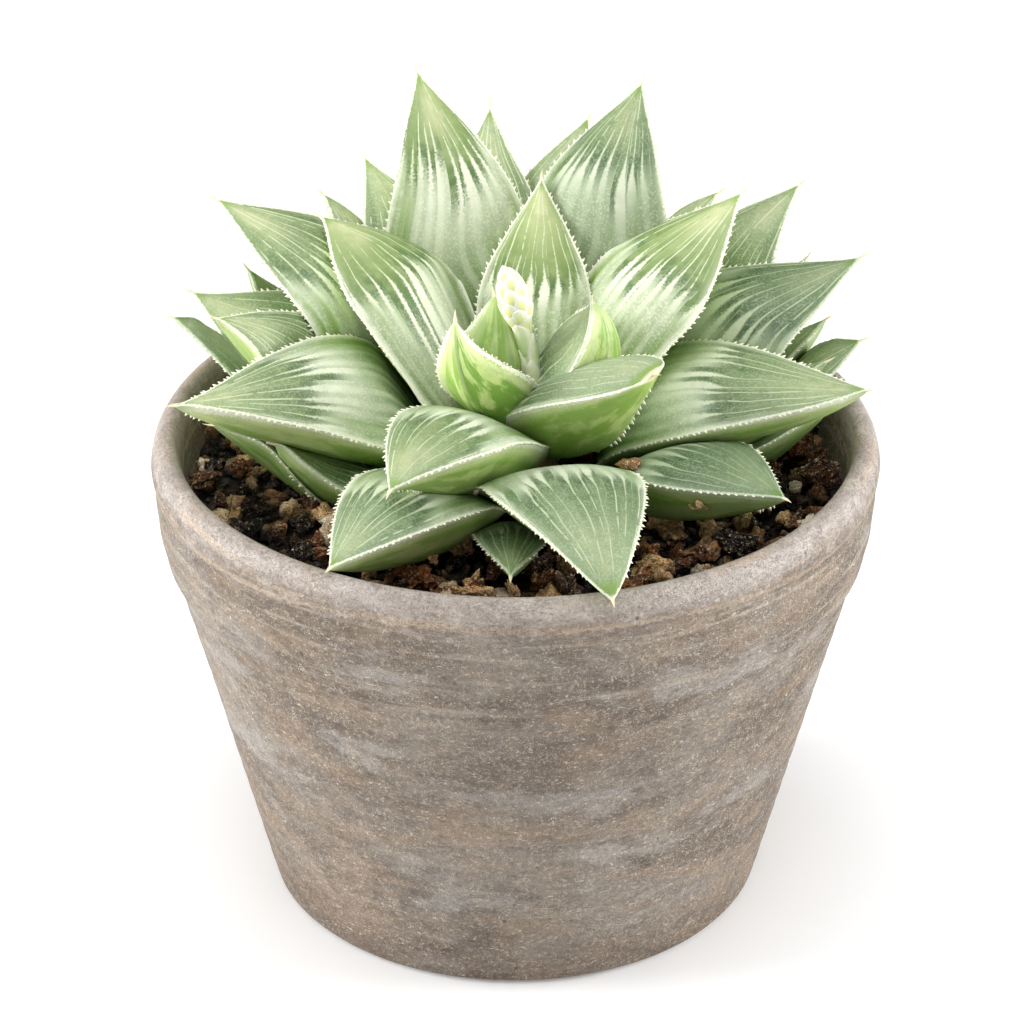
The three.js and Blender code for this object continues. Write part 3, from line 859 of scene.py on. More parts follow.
# %% A dry husk
HUSK_SPOT = np.array([24.55, -21.75, 69.05])
HUSK_OUT = np.array([-0.17, -0.77, -0.61])
HUSK_SIDES = 10
HOOK = np.array([(-0.2, 1.2, 0.5), (0.1, 0.9, 0.8), (0.5, 0.4, 0.9), (0.45, -0.2, 0.6),
                 (0.0, -0.6, 0.35), (-0.6, -0.75, 0.3), (-1.1, -0.5, 0.4), (-1.25, -0.2, 0.6)])


def dry_husk():
    """Rings along the hook, wide in the middle and pinched at both ends."""
    right = unit(np.cross([0, 0, 1], HUSK_OUT))
    axes = np.stack([right, np.cross(HUSK_OUT, right), HUSK_OUT])
    t = np.linspace(0, 1, 26)
    knots = np.linspace(0, 1, len(HOOK))
    line = np.stack([np.interp(t, knots, HOOK[:, n]) for n in range(3)], -1)
    line[1:-1] = (line[:-2] + line[1:-1] + line[2:]) / 3
    ahead = unit(np.gradient(line, axis=0))
    across = unit(np.cross(ahead, [0.35, 0.2, 1]))
    wide = 0.14 + 0.62 * np.sin(np.pi * t) ** 0.7 * (1 + 0.3 * np.sin(19 * t))
    across, above = (v[:, None] for v in (across, np.cross(across, ahead)))
    turns, wide = circle(HUSK_SIDES)[None, :, None], wide[:, None, None]
    oval = np.cos(turns) * wide * across + np.sin(turns) * 0.1 * above
    curl = 0.5 * np.cos(turns) ** 2 * wide * above
    rings = (line[:, None] * 1.15 + oval + curl) @ axes + HUSK_SPOT
    points = tube_points(rings, rings[0].mean(0), rings[-1].mean(0))
    return points, tube_faces(len(t), HUSK_SIDES)


husk_points, husk_faces = dry_husk()
print("the husk has", len(husk_points), "points")

# %% Fallen bits
CRUMB_SPOT = np.array([15.2, -16.9, 71.9])
CRUMB_HALF = np.array([1.5, 1.1, 0.9])

ball, ball_faces = unit_ball(3)
crumb = ball * CRUMB_HALF * (1 + 0.5 * layered_noise(ball * 1.6, 71, 3))[:, None] + CRUMB_SPOT
bit_points = np.concatenate([husk_points, crumb])
bit_faces = husk_faces + (ball_faces + len(husk_points)).tolist()
bit_marks = {"bit": np.repeat([0.75, 0.3], [len(husk_points), len(crumb)])}
HUSK = gritty("dry husk", [(120, 82, 40), (206, 162, 98), (255, 228, 176), (255, 240, 206)],
              0.45, 2.0, 0.6)
make_piece("fallen_bits", bit_points, bit_faces, HUSK, marks=bit_marks)
print("fallen bits:", len(bit_faces), "faces")

# %% [markdown]
# ## Where the leaves are
# Each leaf springs from the stem at a root point and ends in a tip point. Directions are in
# degrees anticlockwise from +X, lengths in millimetres. Rise and end are the pitch above the
# horizontal at the root and at the tip. The width at the root is a share of the widest place,
# called foot, and taper sharpens the tip. Roll turns the upper face about the leaf's length,
# and sweep bends the leaf sideways. A whorl gives what its leaves share, and each row says
# what differs. These are the same numbers that the frame's own leaves were made from.

# %% Whorls
WHORLS = {
    "heart": dict(root_height=72, root_reach=2, rise=80, end=90, width=12, thick=6,
                  widest=0.5, foot=0.8, taper=1),
    "inner": dict(root_height=71, root_reach=4, rise=60, end=60, width=15, thick=8,
                  widest=0.45, foot=0.8, taper=1.2),
    "middle": dict(root_height=68, root_reach=5, rise=70, end=40, width=19, thick=7.5,
                   widest=0.5, foot=0.8, taper=1.2),
    "outer": dict(root_height=66, root_reach=8, rise=45, end=25, width=18, thick=8,
                  widest=0.45, foot=0.75, taper=1.15),
    "skirt": dict(root_height=63, root_reach=11, rise=12, end=15, width=15, thick=7.5,
                  widest=0.45, foot=0.7, taper=1.1),
}
print("whorls:", ", ".join(WHORLS))

# %% Leaves, from the heart outwards: whorl, direction, reach and height of the tip
LEAVES = [
    ("inner", -121, 15.5, 91.5, dict(width=11, thick=5, rise=45, end=90, taper=1, roll=28,
        root_aim=-30, root_reach=0.5, root_height=72, widest=0.4)),
    ("heart", -13, 10.5, 89, dict(width=14, thick=8, roll=20, root_aim=20)),
    ("heart", 170, 3, 88.5, dict(rise=85, end=110, root_reach=4.5, root_aim=150, width=13)),
    ("inner", -42, 24.5, 85, dict(width=14, thick=10, rise=45, end=20, taper=0.3, widest=0.6,
        root_aim=-155, root_reach=2, roll=5, keel_teeth=0.42)),
    ("inner", 80, 21, 97, dict(rise=75, width=15.5, thick=6, root_aim=60, widest=0.4)),
    ("middle", -117, 36, 76, dict(rise=45, end=-30, width=15.5, thick=10, taper=1,
        root_height=70, root_aim=-92, root_reach=6, roll=-5, keel_teeth=0.25, belly=0.3)),
    ("middle", 28, 35.5, 96.5, dict(end=35, width=18, root_aim=0, root_reach=6, roll=15)),
    ("middle", 146, 32.5, 92, dict(end=15, width=20, thick=8, root_aim=170, widest=0.55)),
    ("middle", 59, 34.5, 107.5, dict(rise=75, root_aim=45, root_reach=6, widest=0.55)),
    ("middle", 113, 35.5, 108, dict(rise=75, end=45, width=18.5, root_aim=115, roll=-5)),
    ("outer", -76, 51, 69.8, dict(rise=28, end=-45, width=20.5, taper=0.8, root_aim=-68,
        root_reach=9, widest=0.4, sweep=5)),
    ("outer", -13, 48.5, 80, dict(rise=60, end=15, width=20, roll=18, root_aim=14,
        root_reach=12, widest=0.25, taper=1.05, belly=0.9)),
    ("outer", -159, 48.5, 81, dict(rise=58, end=8, width=20.5, thick=10, roll=-26, root_aim=165,
        root_reach=11, widest=0.25, taper=1.4, belly=0.9, keel_teeth=0.12)),
    ("outer", -120, 48, 69.8, dict(rise=30, end=-8, width=19, thick=9, root_aim=-125,
        root_reach=9, root_height=64, widest=0.35, taper=1.05, belly=0.5)),
    ("outer", -35, 43.5, 71, dict(rise=40, end=0, width=18.5, thick=9.5, root_aim=-20,
        root_reach=6, root_height=64.5, widest=0.55, sweep=-8, belly=0.7, keel_teeth=0.12)),
    ("middle", 17, 50, 87.5, dict(rise=50, end=20, width=20, root_aim=20, root_height=65.5,
        roll=20, sweep=5)),
    ("middle", 151, 48, 92.5, dict(rise=65, end=18, root_aim=145, root_reach=4,
        root_height=65.5, roll=-25, widest=0.45)),
    ("outer", -178, 40.5, 86, dict(rise=35, thick=9, roll=-18, root_aim=165, sweep=15)),
    ("outer", 95, 41, 99, dict(rise=55, end=45, width=17, sweep=-9)),
    ("outer", 75, 40.5, 98, dict(rise=55, end=40, width=20.5, sweep=-14, roll=8)),
    ("outer", 60, 39.5, 95, dict(rise=50, end=60, width=15.5)),
    ("outer", 44, 40, 91.5, dict(rise=50, end=20, width=16, sweep=-7, roll=6)),
    ("outer", 31, 46.5, 94.5, dict(rise=42, end=34, width=18.5, roll=16)),
    ("outer", 123, 39.5, 94.5, dict(rise=50, end=32, width=17, roll=-5)),
    ("outer", 135, 38.5, 91.5, dict(end=28, width=14.5, sweep=5)),
    ("outer", 157, 49.5, 80, dict(rise=38, end=20, width=16, roll=-25, widest=0.6, taper=1.3)),
    ("skirt", 168, 48.5, 80.5, dict(rise=25, width=17, roll=-18)),
    ("skirt", 28, 46, 84, dict(rise=25, end=35, width=14)),
    ("skirt", 2, 42.5, 78, dict(rise=20, end=25, width=12)),
    ("skirt", 21, 46.5, 77, dict(rise=20, end=30, width=12)),
    ("skirt", 14, 49.5, 76, dict(rise=25, end=18, width=19, roll=20, taper=1)),
    ("skirt", 4, 44, 71, dict(end=20, width=16)),
    ("skirt", -163, 33.5, 72, dict(end=45, roll=-8, root_aim=-135, sweep=20)),
    ("skirt", -172, 41.5, 72, dict(end=5, width=14)),
    ("skirt", -91, 37, 66, dict(rise=5, end=-5, width=10, thick=5)),
    ("skirt", 149, 44, 82, dict(rise=20, end=40, width=13)),
    ("skirt", 48, 44, 80, dict(end=28)),
    ("skirt", 70, 45, 79, dict(end=25, width=16)),
    ("skirt", 93, 46, 79, dict(end=25, width=16)),
    ("skirt", 116, 45, 78, dict(end=25, width=16)),
    ("skirt", 138, 45, 77, dict(end=25, width=14)),
]


def full_leaf(whorl, aim, reach, height, own):
    """One leaf's numbers: the whorl's, with the leaf's own over them."""
    return {"sweep": 0, "roll": 0, "root_aim": aim, "belly": 0, "keel_teeth": 0, **WHORLS[whorl],
            "whorl": whorl, "aim": aim, "reach": reach, "height": height, **own}


leaves = [full_leaf(*row) for row in LEAVES]
print(len(leaves), "leaves, the widest", max(leaf["width"] for leaf in leaves), "mm")

# %% [markdown]
# ## The surface of a leaf
# The middle line of a leaf is a cubic Bezier curve from root to tip. Around it runs a section:
# over the gently domed upper face from one margin to the other, round the thin margin, and back
# under the keel. Half the width, the dome and the depth of the keel all change along the leaf.
# The two parameters are the share of the length and the place round the section, so the whole
# leaf is one array of rings. Beyond the tip the rings shrink to a fine dry bristle.

# %% The middle line
ARM = 0.36  # length of the curve's arms, as a share of the straight distance


def spoke(aim, reach, height):
    """The point at that reach and height in that direction, in degrees from +X."""
    angle = math.radians(aim)
    return np.array([reach * math.cos(angle), reach * math.sin(angle), height])


def middle_line(leaf, t):
    """Points, directions and headings at shares t of a cubic Bezier curve, whose arms leave
    and arrive at the given pitches."""
    root = spoke(leaf["root_aim"], leaf["root_reach"], leaf["root_height"])
    tip = spoke(leaf["aim"], leaf["reach"], leaf["height"])
    chord = tip - root
    heading = math.atan2(chord[1], chord[0])
    sweep = math.radians(leaf["sweep"])
    arms = []
    for turn, pitch in ((heading - sweep, leaf["rise"]), (heading + sweep, leaf["end"])):
        level = math.cos(math.radians(pitch))
        arms.append(ARM * np.linalg.norm(chord) * np.array([
            level * math.cos(turn), level * math.sin(turn), math.sin(math.radians(pitch))]))
    a, b, c, d = root, root + arms[0], tip - arms[1], tip
    t = t[:, None]
    points = (1 - t)**3 * a + 3 * (1 - t)**2 * t * b + 3 * (1 - t) * t**2 * c + t**3 * d
    along = unit((1 - t)**2 * (b - a) + 2 * (1 - t) * t * (c - b) + t**2 * (d - c))
    return points, along, heading - sweep + 2 * sweep * t[:, 0]


def leaf_axes(along, headings, roll):
    """Across and normal at each ring: level and square to the leaf, then rolled about it."""
    level = np.stack([-np.sin(headings), np.cos(headings), headings * 0], -1)
    level = unit(level - along * np.sum(level * along, axis=1, keepdims=True))
    above = np.cross(along, level)
    turn = math.radians(roll)
    across = level * math.cos(turn) + above * math.sin(turn)
    return across, above * math.cos(turn) - level * math.sin(turn)


print("the highest leaf tip is at", max(leaf["height"] for leaf in leaves), "mm")

# %% Width and depth along the leaf
def half_width(leaf, s):
    """A quarter of a sine wave up to the widest place, then a cosine raised to the taper, and
    nowhere less than 0.2 mm."""
    rising = leaf["foot"] + (1 - leaf["foot"]) * np.sin(
        np.pi / 2 * np.clip(s / leaf["widest"], 0, 1))
    rest = np.clip((s - leaf["widest"]) / (1 - leaf["widest"]), 0, 1)
    falling = np.maximum(np.cos(np.pi / 2 * rest), 0) ** leaf["taper"]
    return np.maximum(leaf["width"] / 2 * np.where(s < leaf["widest"], rising, falling), 0.2)


def keel_edge(leaf, s):
    """The power that shapes the underside: 1 is a wedge, 2 an arch. A belly makes it fuller."""
    return 1.35 + 0.9 * (1 - np.clip(s / 0.5, 0, 1)) + leaf["belly"]


def keel_depth(leaf, s):
    """Deepest near the middle of the leaf, and falling to nothing at the tip."""
    body = 0.7 + 0.3 * np.sin(np.pi / 2 * np.clip(s / 0.4, 0, 1))
    fall = np.maximum(np.cos(np.pi / 2 * np.clip((s - 0.45) / 0.55, 0, 1)), 0) ** 0.9
    return leaf["thick"] * body * fall


print("leaf 9 is", [round(2 * float(half_width(leaves[8], s)), 1) for s in (0, 0.5, 0.9)],
      "mm wide at its root, its middle and near its tip")

# %% The section of a leaf
EDGE = 0.16  # half the thickness of the margin
UPPER = np.sin(np.linspace(np.pi / 2, -np.pi / 2, 27))
ROUND = np.radians([60, 0, -60])
AROUND = 2 * len(UPPER) + 2 * len(ROUND)


def section(half, deep, dome, sharp):
    """Offsets across and along the normal of one ring, for each station at once.
    Upper face: dome times (1 - u squared). Underside: depth times (1 - u to the power sharp)."""
    half, deep, dome, sharp = (value[:, None] for value in (half, deep, dome, sharp))
    edge = np.minimum(EDGE, half * 0.5)
    u = UPPER[None, :]
    top = half * u, dome * (1 - u**2) + edge
    under = -half * u, -deep * (1 - np.abs(u) ** sharp) - edge
    left = -half - edge * np.cos(ROUND) * 0.6, edge * np.sin(ROUND)
    right = half + edge * np.cos(ROUND) * 0.6, -edge * np.sin(ROUND)
    return [np.concatenate([np.broadcast_to(part[n], (len(half), part[n].shape[1]))
                            for part in (top, left, under, right)], axis=1) for n in range(2)]


print("a ring has", AROUND, "points")

# %% What a leaf's surface and teeth are hung on
FINE = np.linspace(0, 1, 401)


def arc_share(points):
    """Share of the length at each point of a line."""
    steps = np.linalg.norm(np.diff(points, axis=0), axis=1)
    return np.concatenate([[0], np.cumsum(steps)]) / steps.sum()


def leaf_frame(leaf, t):
    """At shares t of the curve: the share of its length, the point, the directions along,
    across and normal to the leaf, and half its width, which waves a little."""
    s = np.interp(t, FINE, arc_share(middle_line(leaf, FINE)[0]))
    points, along, headings = middle_line(leaf, t)
    across, normal = leaf_axes(along, headings, leaf["roll"])
    wave = lattice_noise(np.stack([s * 7, s * 0, s * 0 + leaf["aim"]], -1), 3)
    return s, points, along, across, normal, half_width(leaf, s) * (1 + 0.025 * wave)


print("half way along its curve, leaf 9 has covered",
      round(float(leaf_frame(leaves[8], np.array([0.5]))[0][0]), 2), "of its length")

# %% Rings of a leaf
STATIONS = np.concatenate([np.linspace(0, 0.9, 64), np.linspace(0.91, 1, 16)])
BRISTLE_STEPS = np.linspace(0.1, 1, 8)
LEAST_DEPTH = 0.12


def swelling(sideways, half, leaf):
    """How far the skin stands out between veins: a noise, strongest in the middle."""
    flat = np.stack([sideways * 0.16, np.cumsum(np.ones_like(sideways), 0) * 0.1,
                     np.full_like(sideways, leaf["aim"])], -1)
    middle = np.clip(1 - (sideways / np.maximum(half[:, None], 0.5)) ** 2, 0, 1)
    return 0.22 * lattice_noise(flat, 17) * middle * smooth(half, 0.8, 4)[:, None]


def leaf_marks(s, sideways, half):
    """What the finish reads at each ring point, and at the two end points after them."""
    horn = np.append(smooth(s, 0.985, 1.0), np.ones(len(BRISTLE_STEPS)))
    below = np.zeros(AROUND)
    below[len(UPPER) + 1:-2] = 1
    marks = {
        "across": sideways / half[:, None],
        "along": np.append(s, np.ones(len(BRISTLE_STEPS)))[:, None],
        "half": half[:, None],
        "under": below,
        "horn": horn[:, None],
    }
    marks = {name: np.broadcast_to(value, sideways.shape) for name, value in marks.items()}
    return {name: np.append(value.ravel(), [value[0].mean(), value[-1].mean()])
            for name, value in marks.items()}


def leaf_rings(leaf):
    """All ring points of a leaf, those of its bristle too, with faces and marks."""
    s, points, along, across, normal, half = leaf_frame(leaf, STATIONS)
    deep = np.maximum(keel_depth(leaf, s), LEAST_DEPTH)
    dome = 0.2 * half * np.sin(np.pi / 2 * np.clip(s / 0.5, 0, 1))
    sharp = keel_edge(leaf, s)

    shrink = 1 - 0.85 * BRISTLE_STEPS
    bend = normal[-1] * leaf["bend"] * BRISTLE_STEPS[:, None] ** 2
    tail = points[-1] + along[-1] * leaf["bristle"] * BRISTLE_STEPS[:, None] + bend
    across, normal, sharp = (np.concatenate([value, np.repeat(value[-1:], len(shrink), 0)])
                             for value in (across, normal, sharp))
    half, deep, dome = (np.append(value, value[-1] * shrink) for value in (half, deep, dome))
    sideways, upwards = section(half, deep, dome, sharp)
    marks = leaf_marks(s, sideways, half)
    upwards = (upwards + swelling(sideways, half, leaf))[..., None]
    rings = np.concatenate([points, tail])[:, None] + sideways[..., None] * across[:, None]
    rings += upwards * normal[:, None]
    tip = rings[-1].mean(0) + along[-1] * 0.15
    return tube_points(rings, points[0], tip), tube_faces(len(rings), AROUND), marks


print("a leaf has", len(STATIONS) + len(BRISTLE_STEPS), "rings")

# %% [markdown]
# ## Teeth
# The margins carry small white teeth, a little under a millimetre apart, that hook towards the
# tip. A leaf has over a hundred of them, so each has only a few faces: a square foot sunk into
# the margin, a smaller square half way, and a point. All the teeth of a margin are made at once
# as one array. Some leaves have a row along the last part of the keel as well.

# %% The shape of a tooth
SQUARE = np.array([(1, 1), (-1, 1), (-1, -1), (1, -1)])
SIDES = [(n, (n + 1) % 4) for n in range(4)]
TOOTH_FACES = np.array(
    [(a, b, b + 4) for a, b in SIDES] + [(a, b + 4, a + 4) for a, b in SIDES]
    + [(a + 4, b + 4, 8) for a, b in SIDES] + [(0, 2, 1), (0, 3, 2)])
TOOTH_POINTS = 9


def teeth(seats, along, outward, lift, size):
    """Points and faces of a row of teeth. Half way up a tooth is half as wide and leans
    forward, and its point leans forward again, so it hooks."""
    seats, along, outward, lift, side = (
        value[:, None] for value in (seats, along, outward, lift, unit(np.cross(along, outward))))
    size = size[:, None, None]
    foot = (SQUARE[None, :, :1] * along * 0.32 + SQUARE[None, :, 1:] * side * 0.13) * size ** 0.5
    low = seats - outward * 0.15 + foot
    high = seats + (outward * 0.3 + along * 0.22 + lift * 0.08) * size + foot * 0.55
    peak = seats + (outward * 0.66 + along * 0.45 + lift * 0.1) * size
    points = np.concatenate([low, high, peak], axis=1)
    faces = TOOTH_FACES[None] + (np.arange(len(points)) * TOOTH_POINTS)[:, None, None]
    return points.reshape(-1, 3), faces.reshape(-1, 3)


print("a tooth has", len(TOOTH_FACES), "faces")

# %% Rows of teeth
TOOTH_PITCH = 0.85


def tooth_places(leaf, start, end, random):
    """Shares of the curve, a pitch apart and a little uneven."""
    line = middle_line(leaf, FINE)[0]
    length = np.linalg.norm(np.diff(line, axis=0), axis=1).sum()
    count = int(length * (end - start) / TOOTH_PITCH)
    wanted = start + (np.arange(count) + random.uniform(-0.3, 0.3, count)) * (end - start) / count
    return np.interp(wanted, arc_share(line), FINE)


def margin_teeth(leaf, side, random):
    """Teeth along the left margin, side 1, or the right one, side -1."""
    t = tooth_places(leaf, 0.08, 0.95, random)
    s, points, _, across, normal, half = leaf_frame(leaf, t)
    seats = points + across * side * half[:, None]
    travel = unit(np.gradient(seats, axis=0))
    outward = unit(across * side - travel * np.sum(across * side * travel, 1, keepdims=True))
    size = (0.58 + 0.24 * np.sin(np.pi * s)) * random.uniform(0.55, 1.3, len(s))
    return teeth(seats, travel, outward, normal, size)


def keel_teeth(leaf, random):
    """Teeth along the last part of the keel."""
    t = tooth_places(leaf, 1 - leaf["keel_teeth"], 0.97, random)
    s, points, _, across, normal, _ = leaf_frame(leaf, t)
    seats = points - normal * (np.maximum(keel_depth(leaf, s), LEAST_DEPTH) + EDGE)[:, None]
    travel = unit(np.gradient(seats, axis=0))
    return teeth(seats, travel, -normal, across, random.uniform(0.6, 1.1, len(s)))


places = tooth_places(leaves[8], 0.08, 0.95, np.random.default_rng(1))
print("a margin of leaf 9 has", len(places), "teeth")

# %% [markdown]
# ## Giving way
# Leaves grow pressed against each other, the younger ones in front. The shapes above know
# nothing of each other and would pass through one another. So each leaf is pressed against
# every leaf nearer the heart: a point that stands inside an earlier leaf, or in front of it,
# sinks along that leaf's normal until it is just behind its back. Beside the earlier leaf the
# limit rises steeply, so the pressed skin bends round its margin.

# %% Behind one leaf
PRESS_STEPS = np.linspace(0, 1, 41)


def back_of(leaf):
    """What a later leaf needs to know of this one: its middle line, axes and length."""
    points, along, headings = middle_line(leaf, PRESS_STEPS)
    across, normal = leaf_axes(along, headings, leaf["roll"])
    length = np.linalg.norm(np.diff(points, axis=0), axis=1).sum()
    return leaf, points, along, across, normal, arc_share(points), length


def press(points, back, gap):
    """The points sunk behind one earlier leaf. gap is the room to leave at each of them."""
    leaf, line, along, across, normal, shares, length = back
    near = np.argmin(np.sum(line**2, axis=1) - 2 * points @ line.T, axis=1)
    offset = points - line[near]
    ahead, side, up = (np.sum(offset * axis[near], axis=1) for axis in (along, across, normal))
    s = shares[near] + ahead / length
    inside = np.clip(s, 0, 1)
    half = half_width(leaf, inside)
    arch = 1 - np.clip(np.abs(side) / half, 0, 1) ** keel_edge(leaf, inside)
    deep = keel_depth(leaf, inside) * arch
    outside = np.maximum(np.abs(side) - half, 0) + np.maximum(s - 1, 0) * length
    limit = 4 * outside - deep - gap
    sink = np.maximum(up - limit, 0) * (1 - smooth(up, 8, 13)) * (1 - smooth(outside, 1.5, 2.5))
    return points - normal[near] * sink[:, None]


print("leaf 9 is", round(back_of(leaves[8])[-1], 1), "mm long")

# %% Behind every earlier leaf
LEAST_GAP, BACK_GAP = 0.25, 0.5  # mm left in front of a leaf, and how much more at its back
HEART_REACH, BESIDE = 25, 100  # mm and degrees: leaves that are near enough to press


def give_way(points, leaf, backs, under):
    """Presses a leaf behind the earlier leaves that are near it. The moves are evened out along
    the skin and round it, so that it bends gently. Teeth move with the skin they sit on."""
    count = (len(STATIONS) + len(BRISTLE_STEPS)) * AROUND
    skin, gap = points[:count], LEAST_GAP + BACK_GAP * under[:count]
    near = [back for back in backs if back[0]["reach"] < HEART_REACH
            or abs((leaf["aim"] - back[0]["aim"] + 180) % 360 - 180) < BESIDE]
    moves = np.zeros_like(skin)
    for reach in (5, 3):
        pressed = skin + moves
        for back in near:
            pressed = press(pressed, back, gap)
        more = (pressed - skin - moves).reshape(-1, AROUND, 3)
        for _ in range(2):
            more = evened(more, reach).swapaxes(0, 1)
            more = evened(more, reach, closed=True).swapaxes(0, 1)
        moves += more.reshape(-1, 3)
    feet = points[count + 2:].reshape(-1, TOOTH_POINTS, 3)[:, :4].mean(axis=1)
    seat = [np.argmin(np.sum((skin - foot) ** 2, axis=1)) for foot in feet]
    ends = [moves[:AROUND].mean(axis=0), moves[-AROUND:].mean(axis=0)]
    return points + np.concatenate([moves, ends, moves[seat].repeat(TOOTH_POINTS, axis=0)])


print("skin points of a leaf:", (len(STATIONS) + len(BRISTLE_STEPS)) * AROUND)

# %% A whole leaf
def leaf_solid(leaf, seed):
    """The leaf's rings and all its teeth as one set of points, faces and marks."""
    random = np.random.default_rng(seed)
    points, faces, marks = leaf_rings(leaf)
    rows = [margin_teeth(leaf, side, random) for side in (1, -1)]
    if leaf["keel_teeth"]:
        rows.append(keel_teeth(leaf, random))
    for more_points, more_faces in rows:
        faces += (more_faces + len(points)).tolist()
        points = np.concatenate([points, more_points])
        marks = {name: np.append(value, np.full(len(more_points), float(name == "horn")))
                 for name, value in marks.items()}
    return points, faces, marks


print(sum(leaf["keel_teeth"] > 0 for leaf in leaves), "leaves have teeth on their keel too")

# %% [markdown]
# ## The markings of a leaf
# The upper face ends in a green window, crossed by fine white veins that run together at the
# tip. Towards the root each vein widens until it fills its strip, so the green between two veins
# ends in a ragged wedge. Below that lies a cream band with soft streaks, and then grey-green.
# Olive stripes run beside the margins, the margins themselves are cream, and the underside is
# green with pale dashes.
# The marks on the mesh say how far across and along the leaf a point is. A vein is then a place
# where the distance to a whole number is small, and every other mark is a smooth step.
# The recipe is long, so each part of the leaf has a function of its own. They share one bundle
# of signals, called at, that says where a point is on its leaf.

# %% Colours of a leaf
DULL = palette(  # an old leaf: its window, what lies below that, and its back
    dark=(62, 88, 60), middle=(110, 131, 98), light=(151, 167, 130),
    silver=(142, 162, 130), root=(92, 122, 76), back=(140, 170, 98), deep_back=(110, 146, 74),
)
FRESH = palette(  # the same places on a fresh leaf
    dark=(72, 104, 50), middle=(128, 151, 86), light=(178, 191, 130),
    silver=(152, 172, 118), root=(98, 132, 60), back=(150, 186, 84), deep_back=(112, 154, 58),
)
LEAF = palette(
    thin_vein=(218, 228, 188), wide_vein=(236, 240, 216),
    frost=(212, 222, 204), blush=(214, 214, 168), tip=(130, 162, 72), cream=(230, 236, 210),
    dot=(244, 246, 230), olive=(110, 146, 42), margin=(244, 246, 224), dash=(208, 224, 146),
    stripe=(224, 230, 182), band=(226, 234, 174), keel=(212, 222, 170), back_tip=(156, 180, 92),
    mottle=(86, 112, 72), lit=(255, 255, 255), shaded=(140, 160, 136), horn=(240, 238, 212),
    bristle=(214, 190, 142),
)
print("a leaf is painted with", len(DULL) + len(FRESH) + len(LEAF), "colours")

# %% Where a point is on its leaf
STRETCHED = {  # noises: scale across and along, shift of the seed, and detail
    "streaks": (8, 1.4, 9.0, 3.0), "stripes": (4, 0.7, 45.0, 2.0), "dashes": (5, 5, 33.0, 3.0),
}


def places_on_leaf(wires, given):
    """Across from -1 to 1, along from 0 to 1, millimetres in from the margin, the pale margin
    itself, and noises from fine to coarse."""
    at = SimpleNamespace(**{name: wires.mark(name) for name in ("across", "along", "half")})
    seed, point = given["Seed"], wires.place()
    at.side = abs(at.across)
    at.inset = (1.0 - at.side) * at.half
    at.speck = wires.noise(point, 3.2, 1.0, 0.0, 0.65)
    at.mottle = wires.noise(point, 0.6, 2.0)
    at.margin = (at.inset + (at.speck - 0.5) * 0.5).rise(0.29, 0.1) * 0.95
    at.wave = wires.noise(wires.vector(at.across * 1.6, at.along * 4.5, seed), 1.0, 1.0)
    for name, (across, along, shift, detail) in STRETCHED.items():
        spot = wires.vector(at.across * across, at.along * along, seed + shift)
        setattr(at, name, wires.noise(spot, 1.0, detail, 0.0, 0.6))
    return at


print("noises stretched over the leaf:", ", ".join(STRETCHED))

# %% Veins
THINNEST, THICKEST = 0.02, 0.085  # half a vein's width in the window, in mm


def vein_strips(wires, given, at):
    """Cuts the leaf into strips, one for each vein. The vein of a strip is the nearest whole
    number, and away is how far off it a point lies, in millimetres. past says how far a point
    lies beyond the start of the window, and inner is 1 below it."""
    at.strip = (at.across + (at.wave - 0.5) * 0.22) * given["Veins"] * 0.5 + 40.5
    at.vein = round(at.strip)
    at.luck = wires.chance(at.vein + given["Seed"] * 3.7)
    at.luck_two = wires.chance(at.vein * 2.3 + given["Seed"] * 1.9)
    at.strip_mm = at.half * 2.0 / given["Veins"]
    at.away = abs(at.strip - at.vein - (at.luck - 0.5) * 0.6) * at.strip_mm
    at.past = at.along - (given["Windows"] + at.side * at.side * 0.1 + (at.luck - 0.5) * 0.12)
    at.inner = at.along.rise(given["Windows"] + 0.15, given["Windows"] - 0.02)


def veins_on(wires, given, at):
    """Share of vein at a point: beaded and thin in the window, wide with torn edges further in,
    and now and then a faint vein between two others."""
    beads = wires.noise(
        wires.vector(at.vein * 7.1, at.along * 24, given["Seed"] + 5.0), 1.0, 1.0)
    thin = (THINNEST + (THICKEST - THINNEST) * at.luck) * (0.3 + 1.4 * beads)
    width = thin + at.inner ** 2.2 * at.strip_mm * (0.08 + 0.24 * at.luck_two)
    width = width - at.along.rise(0.74 + 0.2 * at.luck_two, 0.84 + 0.2 * at.luck_two) * 0.2
    soft = 0.06 + at.inner * 0.2
    torn = at.away + (at.speck - 0.5) * (0.16 + 0.5 * at.inner)
    veins = torn.rise(width + soft, width - soft * 0.5)
    veins = veins * (beads.rise(0.32, 0.42) + at.inner).at_most(1.0)

    between = abs(at.strip - math.floor(at.strip) - 0.5) * at.strip_mm
    faint = (between + (at.speck - 0.5) * 0.1).rise(0.13, 0.03) * at.luck_two.rise(0.45, 0.7)
    faint = faint * at.along.rise(given["Windows"] + 0.3, given["Windows"] + 0.1)
    faint = faint * beads.rise(0.4, 0.55)
    return (veins * (0.8 + 0.15 * at.inner)).at_least(faint * 0.5) * at.past.rise(-0.1, 0.0)


print("half a vein in the window is", THINNEST, "to", THICKEST, "mm wide")

